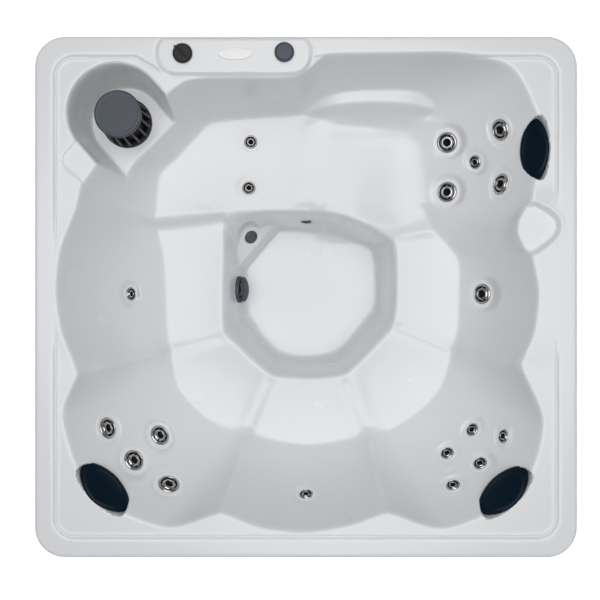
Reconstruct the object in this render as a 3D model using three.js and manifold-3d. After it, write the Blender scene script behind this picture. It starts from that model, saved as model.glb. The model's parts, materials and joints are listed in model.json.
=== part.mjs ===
// Five seat hot tub with a lounger: an acrylic shell on a panelled cabinet, with its jets, filter and pump.
// Lengths are in millimetres. +Z is up, +Y is the side of the control panel, and the origin is on the floor.
import * as THREE from 'three';
import Module from 'manifold-3d';
import { mergeVertices } from 'three/addons/utils/BufferGeometryUtils.js';

const wasm = await Module();
wasm.setup();

// Whole tub
const HALF_LENGTH = 1005;
const HALF_WIDTH = 965;
const RIM_HEIGHT = 860;
const RIM_CORNER = 112;
const GAP = 0.3;
const FIT = 1;
const OVERRUN = 20;

// Flats round a turned piece, and steps round a half circle
const ROUND_SIDES = 16;
const FITTING_SIDES = 12;
const JET_SIDES = 8;
const PIPE_SIDES = 6;
const WELL_STEPS = 12;

// Acrylic shell
const WALL = 10;
const SLAB = 10;
const LAND_WIDTH = 74;
const LAND_DROP = 8;
const SKIRT_DEPTH = 75;
const SKIRT_WALL = 8;
const FLOOR = 770;
const CORNER = 465;
const SEAT = 455;
const FRONT = 440;
const HIP = 428;
const KNEE = 375;
const LEG = 387;
const SEAT_DISH = 9;
const BACK_CURVE_SHARES = [[0.28, 0.43], [0.62, 0.81]];
const POINTS_PER_STATION = 2;

// Each row is one station round the bathing well, anticlockwise from the middle of the right side.
// It gives the opening, the foot of the back, the seat's front edge and the footwell's floor edge as
// shares of the half length and half width, the depths of seat back and seat front, and how dished it is.
const STATION_SHARES = [
  ['right_mid', 0.852, 0.019, 0.652, 0.022, 0.380, 0.022, 0.324, 0.072, SEAT, FRONT, 1],
  ['right_upper', 0.830, 0.150, 0.648, 0.172, 0.380, 0.154, 0.319, 0.159, SEAT, FRONT, 1],
  ['right_crease', 0.811, 0.280, 0.550, 0.291, 0.371, 0.237, 0.300, 0.231, SEAT, FRONT, 0],
  ['head_low', 0.841, 0.426, 0.513, 0.381, 0.328, 0.267, 0.259, 0.260, HIP, HIP, 1],
  ['head_right', 0.870, 0.641, 0.496, 0.486, 0.278, 0.298, 0.203, 0.279, HIP, HIP, 1],
  ['head_corner', 0.767, 0.876, 0.446, 0.644, 0.214, 0.329, 0.148, 0.294, HIP, HIP, 1],
  ['hip_back', 0.575, 0.931, 0.332, 0.767, 0.147, 0.354, 0.092, 0.303, HIP, HIP, 1],
  ['hip', 0.317, 0.931, 0.172, 0.799, 0.080, 0.367, 0.037, 0.313, HIP, HIP, 1],
  ['knee', 0.077, 0.926, 0.025, 0.797, 0.004, 0.366, -0.014, 0.318, KNEE, KNEE, 0],
  ['panel_right', -0.033, 0.841, -0.087, 0.791, -0.083, 0.367, -0.074, 0.323, LEG, LEG, 1],
  ['panel_mid', -0.243, 0.837, -0.253, 0.778, -0.183, 0.367, -0.125, 0.323, LEG, LEG, 1],
  ['panel_left', -0.428, 0.830, -0.398, 0.756, -0.257, 0.367, -0.162, 0.284, LEG, LEG, 1],
  ['well_right', -0.531, 0.757, -0.457, 0.700, -0.299, 0.367, -0.194, 0.241, LEG, LEG, 1],
  ['well_mid', -0.642, 0.649, -0.531, 0.614, -0.324, 0.363, -0.222, 0.207, LEG, LEG, 1],
  ['well_left', -0.752, 0.534, -0.610, 0.527, -0.336, 0.354, -0.245, 0.178, LEG, LEG, 1],
  ['foot_end', -0.826, 0.438, -0.628, 0.385, -0.341, 0.338, -0.263, 0.159, LEG, LEG, 0],
  ['left_top', -0.845, 0.346, -0.631, 0.313, -0.346, 0.294, -0.273, 0.130, SEAT, FRONT, 0],
  ['left_upper', -0.900, 0.188, -0.606, 0.181, -0.346, 0.180, -0.273, 0.072, SEAT, FRONT, 1],
  ['left_mid', -0.917, 0.019, -0.593, 0.022, -0.350, 0.031, -0.273, 0.014, SEAT, FRONT, 1],
  ['left_lower', -0.893, -0.146, -0.589, -0.137, -0.350, -0.110, -0.268, -0.043, SEAT, FRONT, 1],
  ['left_crease', -0.841, -0.296, -0.580, -0.243, -0.342, -0.167, -0.263, -0.077, SEAT, FRONT, 0],
  ['corner_left_a', -0.896, -0.465, -0.535, -0.412, -0.291, -0.211, -0.240, -0.120, CORNER, FRONT, 1],
  ['corner_left', -0.793, -0.753, -0.421, -0.531, -0.236, -0.264, -0.208, -0.178, CORNER, FRONT, 1],
  ['corner_left_b', -0.520, -0.882, -0.314, -0.588, -0.186, -0.307, -0.176, -0.217, CORNER, FRONT, 1],
  ['front_left_crease', -0.317, -0.826, -0.238, -0.610, -0.135, -0.347, -0.139, -0.255, SEAT, FRONT, 0],
  ['front_left', -0.170, -0.883, -0.131, -0.635, -0.076, -0.351, -0.083, -0.279, SEAT, FRONT, 1],
  ['front_mid', -0.004, -0.901, 0.004, -0.653, 0.008, -0.356, -0.005, -0.289, SEAT, FRONT, 1],
  ['front_right', 0.162, -0.876, 0.148, -0.635, 0.105, -0.351, 0.074, -0.279, SEAT, FRONT, 1],
  ['front_right_crease', 0.299, -0.826, 0.267, -0.610, 0.160, -0.343, 0.134, -0.260, SEAT, FRONT, 0],
  ['corner_right_b', 0.520, -0.887, 0.353, -0.588, 0.215, -0.294, 0.185, -0.221, CORNER, FRONT, 1],
  ['corner_right', 0.786, -0.753, 0.476, -0.504, 0.266, -0.242, 0.231, -0.164, CORNER, FRONT, 1],
  ['corner_right_a', 0.874, -0.488, 0.569, -0.403, 0.316, -0.189, 0.277, -0.101, CORNER, FRONT, 1],
  ['right_low_crease', 0.789, -0.265, 0.627, -0.247, 0.363, -0.132, 0.310, -0.058, SEAT, FRONT, 0],
  ['right_lower', 0.837, -0.127, 0.648, -0.124, 0.375, -0.061, 0.324, -0.005, SEAT, FRONT, 1],
];

// Filter well and its skimmer
const FILTER_FROM_SIDE = 297;
const FILTER_FROM_BACK = 276;
const FILTER_X = FILTER_FROM_SIDE - HALF_LENGTH;
const FILTER_Y = HALF_WIDTH - FILTER_FROM_BACK;
const WELL_RADIUS = 177;
const WELL_DRAFT = 27;
const LEDGE_DEPTH = 228;
const WELL_MOUTH = 250;
const WELL_MOUTH_TURN = -0.852;
const FILTER_HOLE = 80;
const CANISTER_RADIUS = 92;
const CANISTER_DEPTH = 330;
const CANISTER_WALL = 4;
const BASKET_BOTTOM_RADIUS = 98;
const BASKET_TOP_RADIUS = 86;
const BASKET_HEIGHT = 165;
const BASKET_WALL = 4;
const BASKET_SLOTS = 8;
const SLOT_WIDTH = 20;
const LID_RADIUS = 89;
const LID_HEIGHT = 14;
const CARTRIDGE_RADIUS = 64;
const CARTRIDGE_BORE = 27;
const CARTRIDGE_LENGTH = 250;
const CARTRIDGE_PLEATS = 18;

// Control panel on the back of the rim
const PANEL_X = -266;
const PANEL_FROM_BACK = 75;
const PANEL_Y = HALF_WIDTH - PANEL_FROM_BACK;
const PANEL_HALF_LENGTH = 281;
const PANEL_HALF_WIDTH = 63;
const PANEL_CORNER = 62;
const PANEL_RISE = 14;
const KNOB_X = -455;
const KNOB_FROM_BACK = 67;
const KNOB_Y = HALF_WIDTH - KNOB_FROM_BACK;
const KNOB_RADIUS = 36;
const KNOB_HEIGHT = 22;
const STEM_RADIUS = 14.7;
const VALVE_RADIUS = 22;
const VALVE_LENGTH = 95;
const BADGE_X = -262;
const BADGE_HALF_LENGTH = 63;
const BADGE_HALF_WIDTH = 23;
const BADGE_THICKNESS = 3;
const BUTTON_X = -80;
const BUTTON_FROM_BACK = 63;
const BUTTON_Y = HALF_WIDTH - BUTTON_FROM_BACK;
const BUTTON_RADIUS = 31;
const BUTTON_STEM = 8;
const BUTTON_TRAVEL = 4;
const BEZEL_RADIUS = 36;
const BEZEL_HEIGHT = 12;
const BEZEL_NECK = 21.7;
const EASE = 2;

// Cup shelves, armrest and pillows
const SHELF_DROP = 16;
const SHELF_BLOCK = 85;
const LEFT_SHELF_SHARES = [
  [-0.742, 0.492], [-0.800, 0.410], [-0.841, 0.463], [-0.878, 0.490], [-0.897, 0.517],
  [-0.893, 0.547], [-0.856, 0.587], [-0.838, 0.620], [-0.765, 0.548],
];
const RIGHT_SHELF_SHARES = [
  [0.774, 0.266], [0.815, 0.162], [0.911, 0.224], [0.933, 0.266], [0.918, 0.312], [0.822, 0.363],
];
const ARMREST_X = 277;
const ARMREST_HALF_LENGTH = 272;
const ARMREST_DEPTH = 272;
const ARMREST_FRONT = 784;
const ARMREST_STEPS = 12;
const PILLOW_HALF_LENGTH = 115;
const PILLOW_HALF_WIDTH = 76;
const PILLOW_THICKNESS = 45;
const PILLOW_TILT = 0.72;
const PILLOW_SEAT = 24;
const PILLOW_TRAY = 16;
const PILLOW_SINK = 42;
const PILLOWS = [
  { name: 'pillow_head', shares: [0.843, 0.568], facing: Math.PI },
  { name: 'pillow_corner_left', shares: [-0.743, -0.731], facing: 0.785 },
  { name: 'pillow_corner_right', shares: [0.729, -0.743], facing: 2.337 },
];

// Jets. A recess holds each one, its body passes a hole in the wall, and its insert turns in the body.
const JET_KINDS = {
  large: { bezel: 41, hole: 28 },
  small: { bezel: 27, hole: 18 },
};
const JET_RECESS_DEPTH = 3;
const JET_CLAMP_DEPTH = 22;
const JET_FLANGE = 8;
const JET_BODY_LENGTH = 62;
const JET_BODY_WALL = 2.2;
const JET_BODY_END = 6;
const JET_INSERT_LENGTH = 30;
const JET_BEZEL_HEIGHT = 5;
const JETS = [
  { name: 'jet_calf_rear', kind: 'small', line: 'head', shares: [-0.230, 0.671] },
  { name: 'jet_calf_front', kind: 'small', line: 'head', shares: [-0.238, 0.472] },
  { name: 'jet_back_low_rear', kind: 'large', line: 'head', shares: [0.580, 0.662] },
  { name: 'jet_back_high_rear', kind: 'large', line: 'head', shares: [0.754, 0.676] },
  { name: 'jet_back_middle', kind: 'small', line: 'head', shares: [0.682, 0.567] },
  { name: 'jet_back_high_front', kind: 'large', line: 'head', shares: [0.759, 0.459] },
  { name: 'jet_back_low_front', kind: 'large', line: 'head', shares: [0.584, 0.453] },
  { name: 'jet_side_right', kind: 'large', line: 'right', shares: [0.727, 0.013] },
  { name: 'jet_right_outer', kind: 'small', line: 'right', shares: [0.770, -0.566] },
  { name: 'jet_right_upper', kind: 'small', line: 'right', shares: [0.675, -0.561] },
  { name: 'jet_right_middle', kind: 'small', line: 'right', shares: [0.686, -0.682] },
  { name: 'jet_right_inner', kind: 'small', line: 'right', shares: [0.575, -0.662] },
  { name: 'jet_right_lower', kind: 'small', line: 'right', shares: [0.576, -0.767] },
  { name: 'jet_side_left', kind: 'small', line: 'left', shares: [-0.721, 0.013] },
  { name: 'jet_left_outer', kind: 'large', line: 'left', shares: [-0.775, -0.534] },
  { name: 'jet_left_middle', kind: 'large', line: 'left', shares: [-0.680, -0.672] },
  { name: 'jet_left_upper', kind: 'large', line: 'left', shares: [-0.601, -0.592] },
  { name: 'jet_left_lower', kind: 'large', line: 'left', shares: [-0.540, -0.767] },
  { name: 'jet_side_front', kind: 'small', line: 'left', shares: [0.000, -0.814] },
];

// Footwell fittings
const GUARD_Y = 34;
const GUARD_ABOVE_FLOOR = 123;
const GUARD_RADIUS = 60;
const GUARD_RISE = 42;
const LIGHT_SHARES = [-0.244, 0.277];
const LIGHT_RADIUS = 30;
const LENS_RISE = 9;
const OUTLET_ABOVE_FLOOR = 209;
const OUTLET_RADIUS = 24;
const OUTLET_RISE = 6;
const FITTING_HOLE = 26;
const FITTING_LENGTH = 55;

// Plumbing and pump
const TRUNK_Z = 250;
const TRUNK_RADIUS = 16;
const TEE_RADIUS = 20;
const DROP_RADIUS = 12;
const TRUNK_PAST = 6;
const PUMP_Y = -640;
const PUMP_Z = 118;
const WET_END_X = -150;
const WET_END_LENGTH = 90;
const WET_END_RADIUS = 90;
const WET_END_WALL = 6;
const IMPELLER_RADIUS = 66;
const SHAFT_RADIUS = 9;
const MOTOR_RADIUS = 70;
const MOTOR_LENGTH = 250;
const HEATER_RADIUS = 34;
const HEATER_Z = 300;
const HEATER_START = -20;
const HEATER_LENGTH = 280;
const SUPPLY_X = 330;
const SUPPLY_Y = -830;
const SUCTION_RUN = 60;
const FILTER_PIPE_SIDE = 70;

// Cabinet and base
const PANEL_INSET = 25;
const BOARD = 12;
const BOARD_FLANGE = 12;
const DOOR_GAP = 1;
const BASE_HEIGHT = 25;
const BASE_FLOOR = 12;
const BASE_OUT = 6;
const BASE_EDGE = 45;
const GROOVES = 7;
const GROOVE_WIDTH = 8;
const GROOVE_DEPTH = 4;
const BLOCK_HALF = 190;
const BOX_X = 450;
const BOX_LENGTH = 260;
const BOX_Y = -680;
const BOX_DEPTH = 110;
const BOX_HEIGHT = 190;
const GLAND_Y = -700;
const GLAND_Z = 95;
const GLAND_RADIUS = 14;
const DRAIN_RADIUS = 18;
const DRAIN_LENGTH = 40;

// Levels that follow from the sizes
const DECK = RIM_HEIGHT - LAND_DROP;
const SLAB_UNDER = DECK - SLAB;

// Turns a closed geometry into a solid for joining and cutting
function solid(geometry) {
  const plain = geometry.index ? geometry.toNonIndexed() : geometry.clone();
  plain.deleteAttribute('normal');
  plain.deleteAttribute('uv');
  const merged = mergeVertices(plain, 1e-3);
  const mesh = new wasm.Mesh({
    numProp: 3,
    vertProperties: new Float32Array(merged.attributes.position.array),
    triVerts: new Uint32Array(merged.index.array),
  });
  return new wasm.Manifold(mesh);
}

function geometryOf(body) {
  const mesh = body.getMesh();
  const geometry = new THREE.BufferGeometry();
  geometry.setAttribute('position', new THREE.BufferAttribute(mesh.vertProperties, 3));
  geometry.setIndex(new THREE.BufferAttribute(mesh.triVerts, 1));
  return geometry;
}

function union(bodies) {
  return bodies.reduce((sum, body) => sum.add(body));
}

const group = new THREE.Group();

const FINISHES = {
  acrylic: { color: 0xe6e9eb, roughness: 0.18, metalness: 0 },
  slate: { color: 0x50565f, roughness: 0.45, metalness: 0 },
  black: { color: 0x16181a, roughness: 0.4, metalness: 0 },
  navy: { color: 0x0a1f2e, roughness: 0.6, metalness: 0 },
  white: { color: 0xe9ebec, roughness: 0.3, metalness: 0 },
  steel: { color: 0xc4c6c8, roughness: 0.2, metalness: 1 },
  pipe: { color: 0xdcdedb, roughness: 0.4, metalness: 0 },
  cabinet: { color: 0x6b6f72, roughness: 0.65, metalness: 0 },
  paper: { color: 0xe4e6e3, roughness: 0.9, metalness: 0 },
  lens: { color: 0x5d6a70, roughness: 0.1, metalness: 0 },
  motor: { color: 0x2c3238, roughness: 0.5, metalness: 0.3 },
  foam: { color: 0xcfc9b4, roughness: 0.9, metalness: 0 },
};

// Adds a named piece, given as a solid or a geometry, at a place in the tub
function addPiece(name, body, finish, place = new THREE.Matrix4()) {
  const geometry = body.isBufferGeometry ? body : geometryOf(body);
  const mesh = new THREE.Mesh(geometry, new THREE.MeshStandardMaterial(FINISHES[finish]));
  mesh.name = name;
  place.decompose(mesh.position, mesh.quaternion, mesh.scale);
  group.add(mesh);
  return mesh;
}

// Shapes
function move(geometry, x, y, z) {
  return geometry.translate(x, y, z);
}

function roundedShape(halfX, halfY, radius, x = 0, y = 0) {
  const shape = new THREE.Shape();
  shape.absarc(x + halfX - radius, y + halfY - radius, radius, 0, Math.PI / 2);
  shape.absarc(x - halfX + radius, y + halfY - radius, radius, Math.PI / 2, Math.PI);
  shape.absarc(x - halfX + radius, y - halfY + radius, radius, Math.PI, 1.5 * Math.PI);
  shape.absarc(x + halfX - radius, y - halfY + radius, radius, 1.5 * Math.PI, 2 * Math.PI);
  shape.closePath();
  return shape;
}

// A flat outline pulled up from one level to another
function plate(shape, low, high, curveSegments = 3) {
  const depth = high - low;
  return move(new THREE.ExtrudeGeometry(shape, { depth, bevelEnabled: false, curveSegments }), 0, 0, low);
}

function box(lowX, lowY, lowZ, highX, highY, highZ) {
  const geometry = new THREE.BoxGeometry(highX - lowX, highY - lowY, highZ - lowZ);
  return move(geometry, (lowX + highX) / 2, (lowY + highY) / 2, (lowZ + highZ) / 2);
}

// A solid turned about +Z. Its profile runs up the outside from the axis and back to the axis.
function turned(profile, sides) {
  const geometry = new THREE.LatheGeometry(profile.map(([r, z]) => new THREE.Vector2(r, z)), sides);
  return geometry.rotateX(Math.PI / 2);
}

// A ring turned about +Z, whose profile closes on itself
function turnedRing(profile, sides) {
  return turned([...profile, profile[0]], sides);
}

function disc(radius, low, high, sides) {
  return turned([[0, low], [radius, low], [radius, high], [0, high]], sides);
}

// A matrix that puts local +Z along a direction at a point
function placeAt(point, direction) {
  const up = new THREE.Vector3(0, 0, 1);
  const turn = new THREE.Quaternion().setFromUnitVectors(up, direction.clone().normalize());
  return new THREE.Matrix4().compose(point, turn, new THREE.Vector3(1, 1, 1));
}

// A straight round bar between two points, run past each end by its own overlap
function bar(from, to, radius, sides, past = 0) {
  const along = to.clone().sub(from);
  const length = along.length();
  return disc(radius, -past, length + past, sides).applyMatrix4(placeAt(from, along));
}

// A solid through rings of equally many points, from the lowest ring to the highest, capped at both ends
function loft(rings) {
  const count = rings[0].length;
  const positions = rings.flat().flatMap((p) => [p.x, p.y, p.z]);
  const faces = [];
  for (let k = 0; k + 1 < rings.length; k += 1) {
    for (let i = 0; i < count; i += 1) {
      const a = k * count + i;
      const b = k * count + ((i + 1) % count);
      faces.push(a, b, b + count, a, b + count, a + count);
    }
  }
  const cap = (ring) => THREE.ShapeUtils.triangulateShape(ring.map((p) => new THREE.Vector2(p.x, p.y)), []);
  const last = (rings.length - 1) * count;
  for (const [a, b, c] of cap(rings[0])) faces.push(a, c, b);
  for (const [a, b, c] of cap(rings[rings.length - 1])) faces.push(last + a, last + b, last + c);
  const geometry = new THREE.BufferGeometry();
  geometry.setAttribute('position', new THREE.Float32BufferAttribute(positions, 3));
  geometry.setIndex(faces);
  return geometry;
}

// Moves a level ring outwards in plan and down
function grown(ring, out, down) {
  return ring.map((p, i) => {
    const before = ring[(i + ring.length - 1) % ring.length];
    const after = ring[(i + 1) % ring.length];
    const along = new THREE.Vector2(after.x - before.x, after.y - before.y).normalize();
    return new THREE.Vector3(p.x + out * along.y, p.y - out * along.x, p.z - down);
  });
}

// Rings of the bathing well, from its floor up to the opening
function stationRing(xColumn, yColumn, depthOf) {
  const points = STATION_SHARES.map((row) => new THREE.Vector3(
    row[xColumn] * HALF_LENGTH,
    row[yColumn] * HALF_WIDTH,
    RIM_HEIGHT - depthOf(row),
  ));
  const curve = new THREE.CatmullRomCurve3(points, true, 'catmullrom', 0.4);
  const count = STATION_SHARES.length * POINTS_PER_STATION;
  return Array.from({ length: count }, (_, i) => curve.getPoint(i / count));
}

function between(lower, upper, share, riseShare = share, sink = 0, dishes = null) {
  return lower.map((p, i) => {
    const q = upper[i];
    const dish = dishes ? dishes[i] * sink : sink;
    return new THREE.Vector3(
      p.x + (q.x - p.x) * share,
      p.y + (q.y - p.y) * share,
      p.z + (q.z - p.z) * riseShare - dish,
    );
  });
}

const floorRing = stationRing(7, 8, () => FLOOR);
const frontRing = stationRing(5, 6, (row) => row[10]);
const backRing = stationRing(3, 4, (row) => row[9]);
const openingRing = stationRing(1, 2, () => LAND_DROP);
const dishes = stationRing(1, 2, (row) => RIM_HEIGHT - row[11]).map((p) => Math.max(0, p.z));
const backRings = BACK_CURVE_SHARES.map(([run, drop]) => between(openingRing, backRing, run, drop)).reverse();
const wellRings = [
  floorRing,
  between(floorRing, frontRing, 0.86, 0.93),
  between(frontRing, backRing, 0.06, 0.06),
  between(frontRing, backRing, 0.5, 0.5, SEAT_DISH, dishes),
  backRing,
  ...backRings,
  openingRing,
];
const openingTop = openingRing.map((p) => new THREE.Vector3(p.x, p.y, RIM_HEIGHT + OVERRUN));
const grownRings = wellRings.map((ring) => grown(ring, WALL, WALL));
grownRings[grownRings.length - 1] = grown(openingRing, WALL, SLAB / 2);

const LEDGE = RIM_HEIGHT - LEDGE_DEPTH;
const TOP = RIM_HEIGHT + OVERRUN;

// Filter well: a round pocket that opens towards the bathing well, with a ledge for the skimmer
function wellOutline(radius) {
  const mouth = new THREE.Vector2(Math.cos(WELL_MOUTH_TURN), Math.sin(WELL_MOUTH_TURN));
  const side = new THREE.Vector2(-mouth.y, mouth.x);
  const points = [];
  for (let i = 0; i <= WELL_STEPS; i += 1) {
    const turn = WELL_MOUTH_TURN + Math.PI / 2 + (Math.PI * i) / WELL_STEPS;
    points.push(new THREE.Vector2(Math.cos(turn), Math.sin(turn)).multiplyScalar(radius));
  }
  points.push(mouth.clone().multiplyScalar(WELL_MOUTH).addScaledVector(side, -radius));
  points.push(mouth.clone().multiplyScalar(WELL_MOUTH).addScaledVector(side, radius));
  return points.map((p) => new THREE.Vector2(p.x + FILTER_X, p.y + FILTER_Y));
}

function level(points, z) {
  return points.map((p) => new THREE.Vector3(p.x, p.y, z));
}

const wellLow = level(wellOutline(WELL_RADIUS - WELL_DRAFT), LEDGE);
const wellTop = level(wellOutline(WELL_RADIUS), TOP);
const filterWell = solid(loft([wellLow, wellTop]));
const bathing = solid(loft([...wellRings, openingTop]));
const filterWellOuter = solid(loft([
  level(wellOutline(WELL_RADIUS - WELL_DRAFT + WALL), LEDGE - WALL),
  level(wellOutline(WELL_RADIUS + WALL), DECK - SLAB / 2),
])).subtract(bathing);

// Cup shelves in the deck
function sharedShape(shares) {
  return new THREE.Shape(shares.map(([x, y]) => new THREE.Vector2(x * HALF_LENGTH, y * HALF_WIDTH)));
}

const shelfFloor = DECK - SHELF_DROP;
const leftShelf = solid(plate(sharedShape(LEFT_SHELF_SHARES), shelfFloor, TOP));
const leftShelfOuter = solid(plate(sharedShape(LEFT_SHELF_SHARES), shelfFloor - WALL, shelfFloor));
const rightShelf = solid(plate(sharedShape(RIGHT_SHELF_SHARES), shelfFloor, TOP));
const rightShelfBlock = solid(plate(sharedShape(RIGHT_SHELF_SHARES), shelfFloor - SHELF_BLOCK, shelfFloor));

// Armrest: an arch on the back wall of the lounger, whose flat top faces up
const archShape = new THREE.Shape();
const archFoot = RIM_HEIGHT - LEG - WALL / 2;
const archHeight = RIM_HEIGHT - ARMREST_DEPTH - archFoot;
for (let i = 0; i <= ARMREST_STEPS; i += 1) {
  const turn = (Math.PI * i) / ARMREST_STEPS;
  const x = ARMREST_X + ARMREST_HALF_LENGTH * Math.cos(turn);
  const z = archFoot + archHeight * Math.sqrt(Math.sin(turn));
  if (i === 0) archShape.moveTo(x, z);
  else archShape.lineTo(x, z);
}
const armrest = solid(plate(archShape, -HALF_WIDTH * 0.93, -ARMREST_FRONT).rotateX(Math.PI / 2));

// Pillows: a pointed oval with a crowned top, drawn in at the sides, on a tilted seat in the wall
function pillowOutline(halfLength, halfWidth, steps = 14) {
  return Array.from({ length: steps }, (_, i) => {
    const turn = (2 * Math.PI * i) / steps;
    const rise = Math.sin(turn);
    return new THREE.Vector2(
      halfLength * Math.cos(turn) * Math.abs(Math.cos(turn)) ** 0.1,
      halfWidth * rise * Math.abs(rise) ** 0.25,
    );
  });
}

// Shares of the outline and of the thickness, from the seat up over the crown to its dished middle
const PILLOW_RING_SHARES = [
  [0.90, 0], [0.985, 0.10], [0.965, 0.30], [1, 0.55], [0.985, 0.70], [0.90, 0.90], [0.80, 1], [0.5, 0.97],
  [0.2, 0.93],
];

function pillowGeometry() {
  const rings = PILLOW_RING_SHARES.map(([size, rise]) => level(
    pillowOutline(PILLOW_HALF_LENGTH * size, PILLOW_HALF_WIDTH * size),
    GAP + (PILLOW_THICKNESS - GAP) * rise,
  ));
  return loft(rings);
}

// Local X runs along the pillow, local Z out of its seat
function pillowPlace(pillow) {
  const inward = new THREE.Vector3(Math.cos(pillow.facing), Math.sin(pillow.facing), 0);
  const normal = inward.clone().multiplyScalar(Math.sin(PILLOW_TILT));
  normal.z = Math.cos(PILLOW_TILT);
  const along = new THREE.Vector3().crossVectors(inward, new THREE.Vector3(0, 0, 1));
  const across = new THREE.Vector3().crossVectors(normal, along);
  const crown = new THREE.Vector3(
    pillow.shares[0] * HALF_LENGTH,
    pillow.shares[1] * HALF_WIDTH,
    DECK - PILLOW_SINK,
  );
  const seat = crown.addScaledVector(normal, -PILLOW_THICKNESS);
  return new THREE.Matrix4().makeBasis(along, across, normal).setPosition(seat);
}

function pillowSolid(fit, low, high, pillow) {
  const shape = new THREE.Shape(pillowOutline(PILLOW_HALF_LENGTH + fit, PILLOW_HALF_WIDTH + fit));
  return solid(plate(shape, low, high).applyMatrix4(pillowPlace(pillow)));
}

const pillowSeats = union(PILLOWS.map((one) => pillowSolid(FIT + WALL, -PILLOW_SEAT, PILLOW_TRAY, one)));
const pillowPockets = union(PILLOWS.map((one) => pillowSolid(FIT, 0, PILLOW_THICKNESS * 2, one)));

// Rim, skirt and the raised control panel
const rimShape = roundedShape(HALF_LENGTH, HALF_WIDTH, RIM_CORNER);
const skirtShape = roundedShape(HALF_LENGTH - SKIRT_WALL, HALF_WIDTH - SKIRT_WALL, RIM_CORNER - SKIRT_WALL);
const landCorner = RIM_CORNER - LAND_WIDTH / 2;
const landShape = roundedShape(HALF_LENGTH - LAND_WIDTH, HALF_WIDTH - LAND_WIDTH, landCorner);
const panelShape = roundedShape(PANEL_HALF_LENGTH, PANEL_HALF_WIDTH, PANEL_CORNER, PANEL_X, PANEL_Y);
const panelTop = DECK + PANEL_RISE;
const rim = solid(plate(rimShape, SLAB_UNDER, RIM_HEIGHT)).subtract(solid(plate(landShape, DECK, TOP)));
const skirt = solid(plate(rimShape, RIM_HEIGHT - SKIRT_DEPTH, DECK))
  .subtract(solid(plate(skirtShape, RIM_HEIGHT - SKIRT_DEPTH - OVERRUN, RIM_HEIGHT)));
const raised = union([rightShelfBlock, armrest, pillowSeats]);
const shellOuter = union([
  rim, skirt, solid(loft(grownRings)), filterWellOuter, leftShelfOuter,
  solid(plate(panelShape, SLAB_UNDER + SLAB / 2, panelTop)), raised,
]);
const basin = bathing.subtract(raised).add(filterWell);
let shell = shellOuter.subtract(basin).subtract(union([leftShelf, rightShelf, pillowPockets]));

// The surface that a fitting sits on, found along a line into the bathing well
const bothSides = new THREE.MeshBasicMaterial({ side: THREE.DoubleSide });
const basinMesh = new THREE.Mesh(geometryOf(bathing), bothSides);

function surfaceAlong(from, direction) {
  const hit = new THREE.Raycaster(from, direction.clone().normalize()).intersectObject(basinMesh)[0];
  const normal = hit.face.normal.clone();
  if (normal.dot(direction) > 0) normal.negate();
  return { point: hit.point, normal };
}

function surfaceUnder(shares) {
  const from = new THREE.Vector3(shares[0] * HALF_LENGTH, shares[1] * HALF_WIDTH, DECK);
  return surfaceAlong(from, new THREE.Vector3(0, 0, -1));
}

// Cuts the hole for a fitting, and the recess whose flats clear its flange
function cutFitting(place, hole, flange, sides) {
  const recess = (flange + FIT) / Math.cos(Math.PI / sides);
  const recessCut = disc(recess, -JET_RECESS_DEPTH, OVERRUN, sides);
  const holeCut = disc(hole, -JET_BODY_LENGTH, OVERRUN, sides);
  for (const cut of [recessCut, holeCut]) shell = shell.subtract(solid(cut.applyMatrix4(place)));
}

// The part of a fitting that lies behind the wall, with its neck in the hole and an open bore
function fittingBody(hole, bore, length, sides) {
  const neck = hole - GAP;
  const clamp = -JET_CLAMP_DEPTH - GAP;
  return turned([
    [0, -length], [hole, -length], [hole + JET_FLANGE, clamp], [neck, clamp], [neck, -JET_RECESS_DEPTH],
    [bore, -JET_RECESS_DEPTH], [bore, -length * 0.7], [0, -length * 0.7],
  ], sides);
}

const lines = { left: [], right: [], head: [] };
const tails = { left: [], right: [], head: [] };
for (const jet of JETS) {
  const { bezel, hole } = JET_KINDS[jet.kind];
  const { point, normal } = surfaceUnder(jet.shares);
  const place = placeAt(point, normal);
  cutFitting(place, hole, bezel, JET_SIDES);
  const bore = hole - GAP - JET_BODY_WALL;
  const barrel = bore * Math.cos(Math.PI / JET_SIDES) - GAP;
  const seat = GAP - JET_RECESS_DEPTH;
  const face = seat + JET_BEZEL_HEIGHT;
  const insert = turned([
    [0, -JET_INSERT_LENGTH], [barrel, -JET_INSERT_LENGTH], [barrel, seat], [bezel, seat],
    [bezel * 0.9, face], [bezel * 0.5, -JET_RECESS_DEPTH], [bezel * 0.25, -JET_INSERT_LENGTH * 0.5],
    [0, -JET_INSERT_LENGTH * 0.5],
  ], JET_SIDES);
  addPiece(jet.name, insert, 'steel', place);
  lines[jet.line].push(solid(fittingBody(hole, bore, JET_BODY_LENGTH, JET_SIDES).applyMatrix4(place)));
  const tail = point.clone().addScaledVector(normal, JET_BODY_END - JET_BODY_LENGTH);
  tails[jet.line].push(tail);
}

// Water lines: each jet's tail drops to a level trunk under the seats, with a tee where they meet
function trunkPoint(x, y, z = TRUNK_Z) {
  return new THREE.Vector3(x, y, z);
}

function tee(point, radius = TEE_RADIUS) {
  return solid(disc(radius, point.z - radius, point.z + radius, PIPE_SIDES).translate(point.x, point.y, 0));
}

function run(points, radius = TRUNK_RADIUS) {
  const bars = points.slice(1).map((to, i) => solid(bar(points[i], to, radius, PIPE_SIDES)));
  const knuckle = box(-radius, -radius, -radius, radius, radius, radius);
  const elbows = points.slice(1, -1).map((p) => solid(knuckle.clone().translate(p.x, p.y, p.z)));
  return union([...bars, ...elbows]);
}

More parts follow.
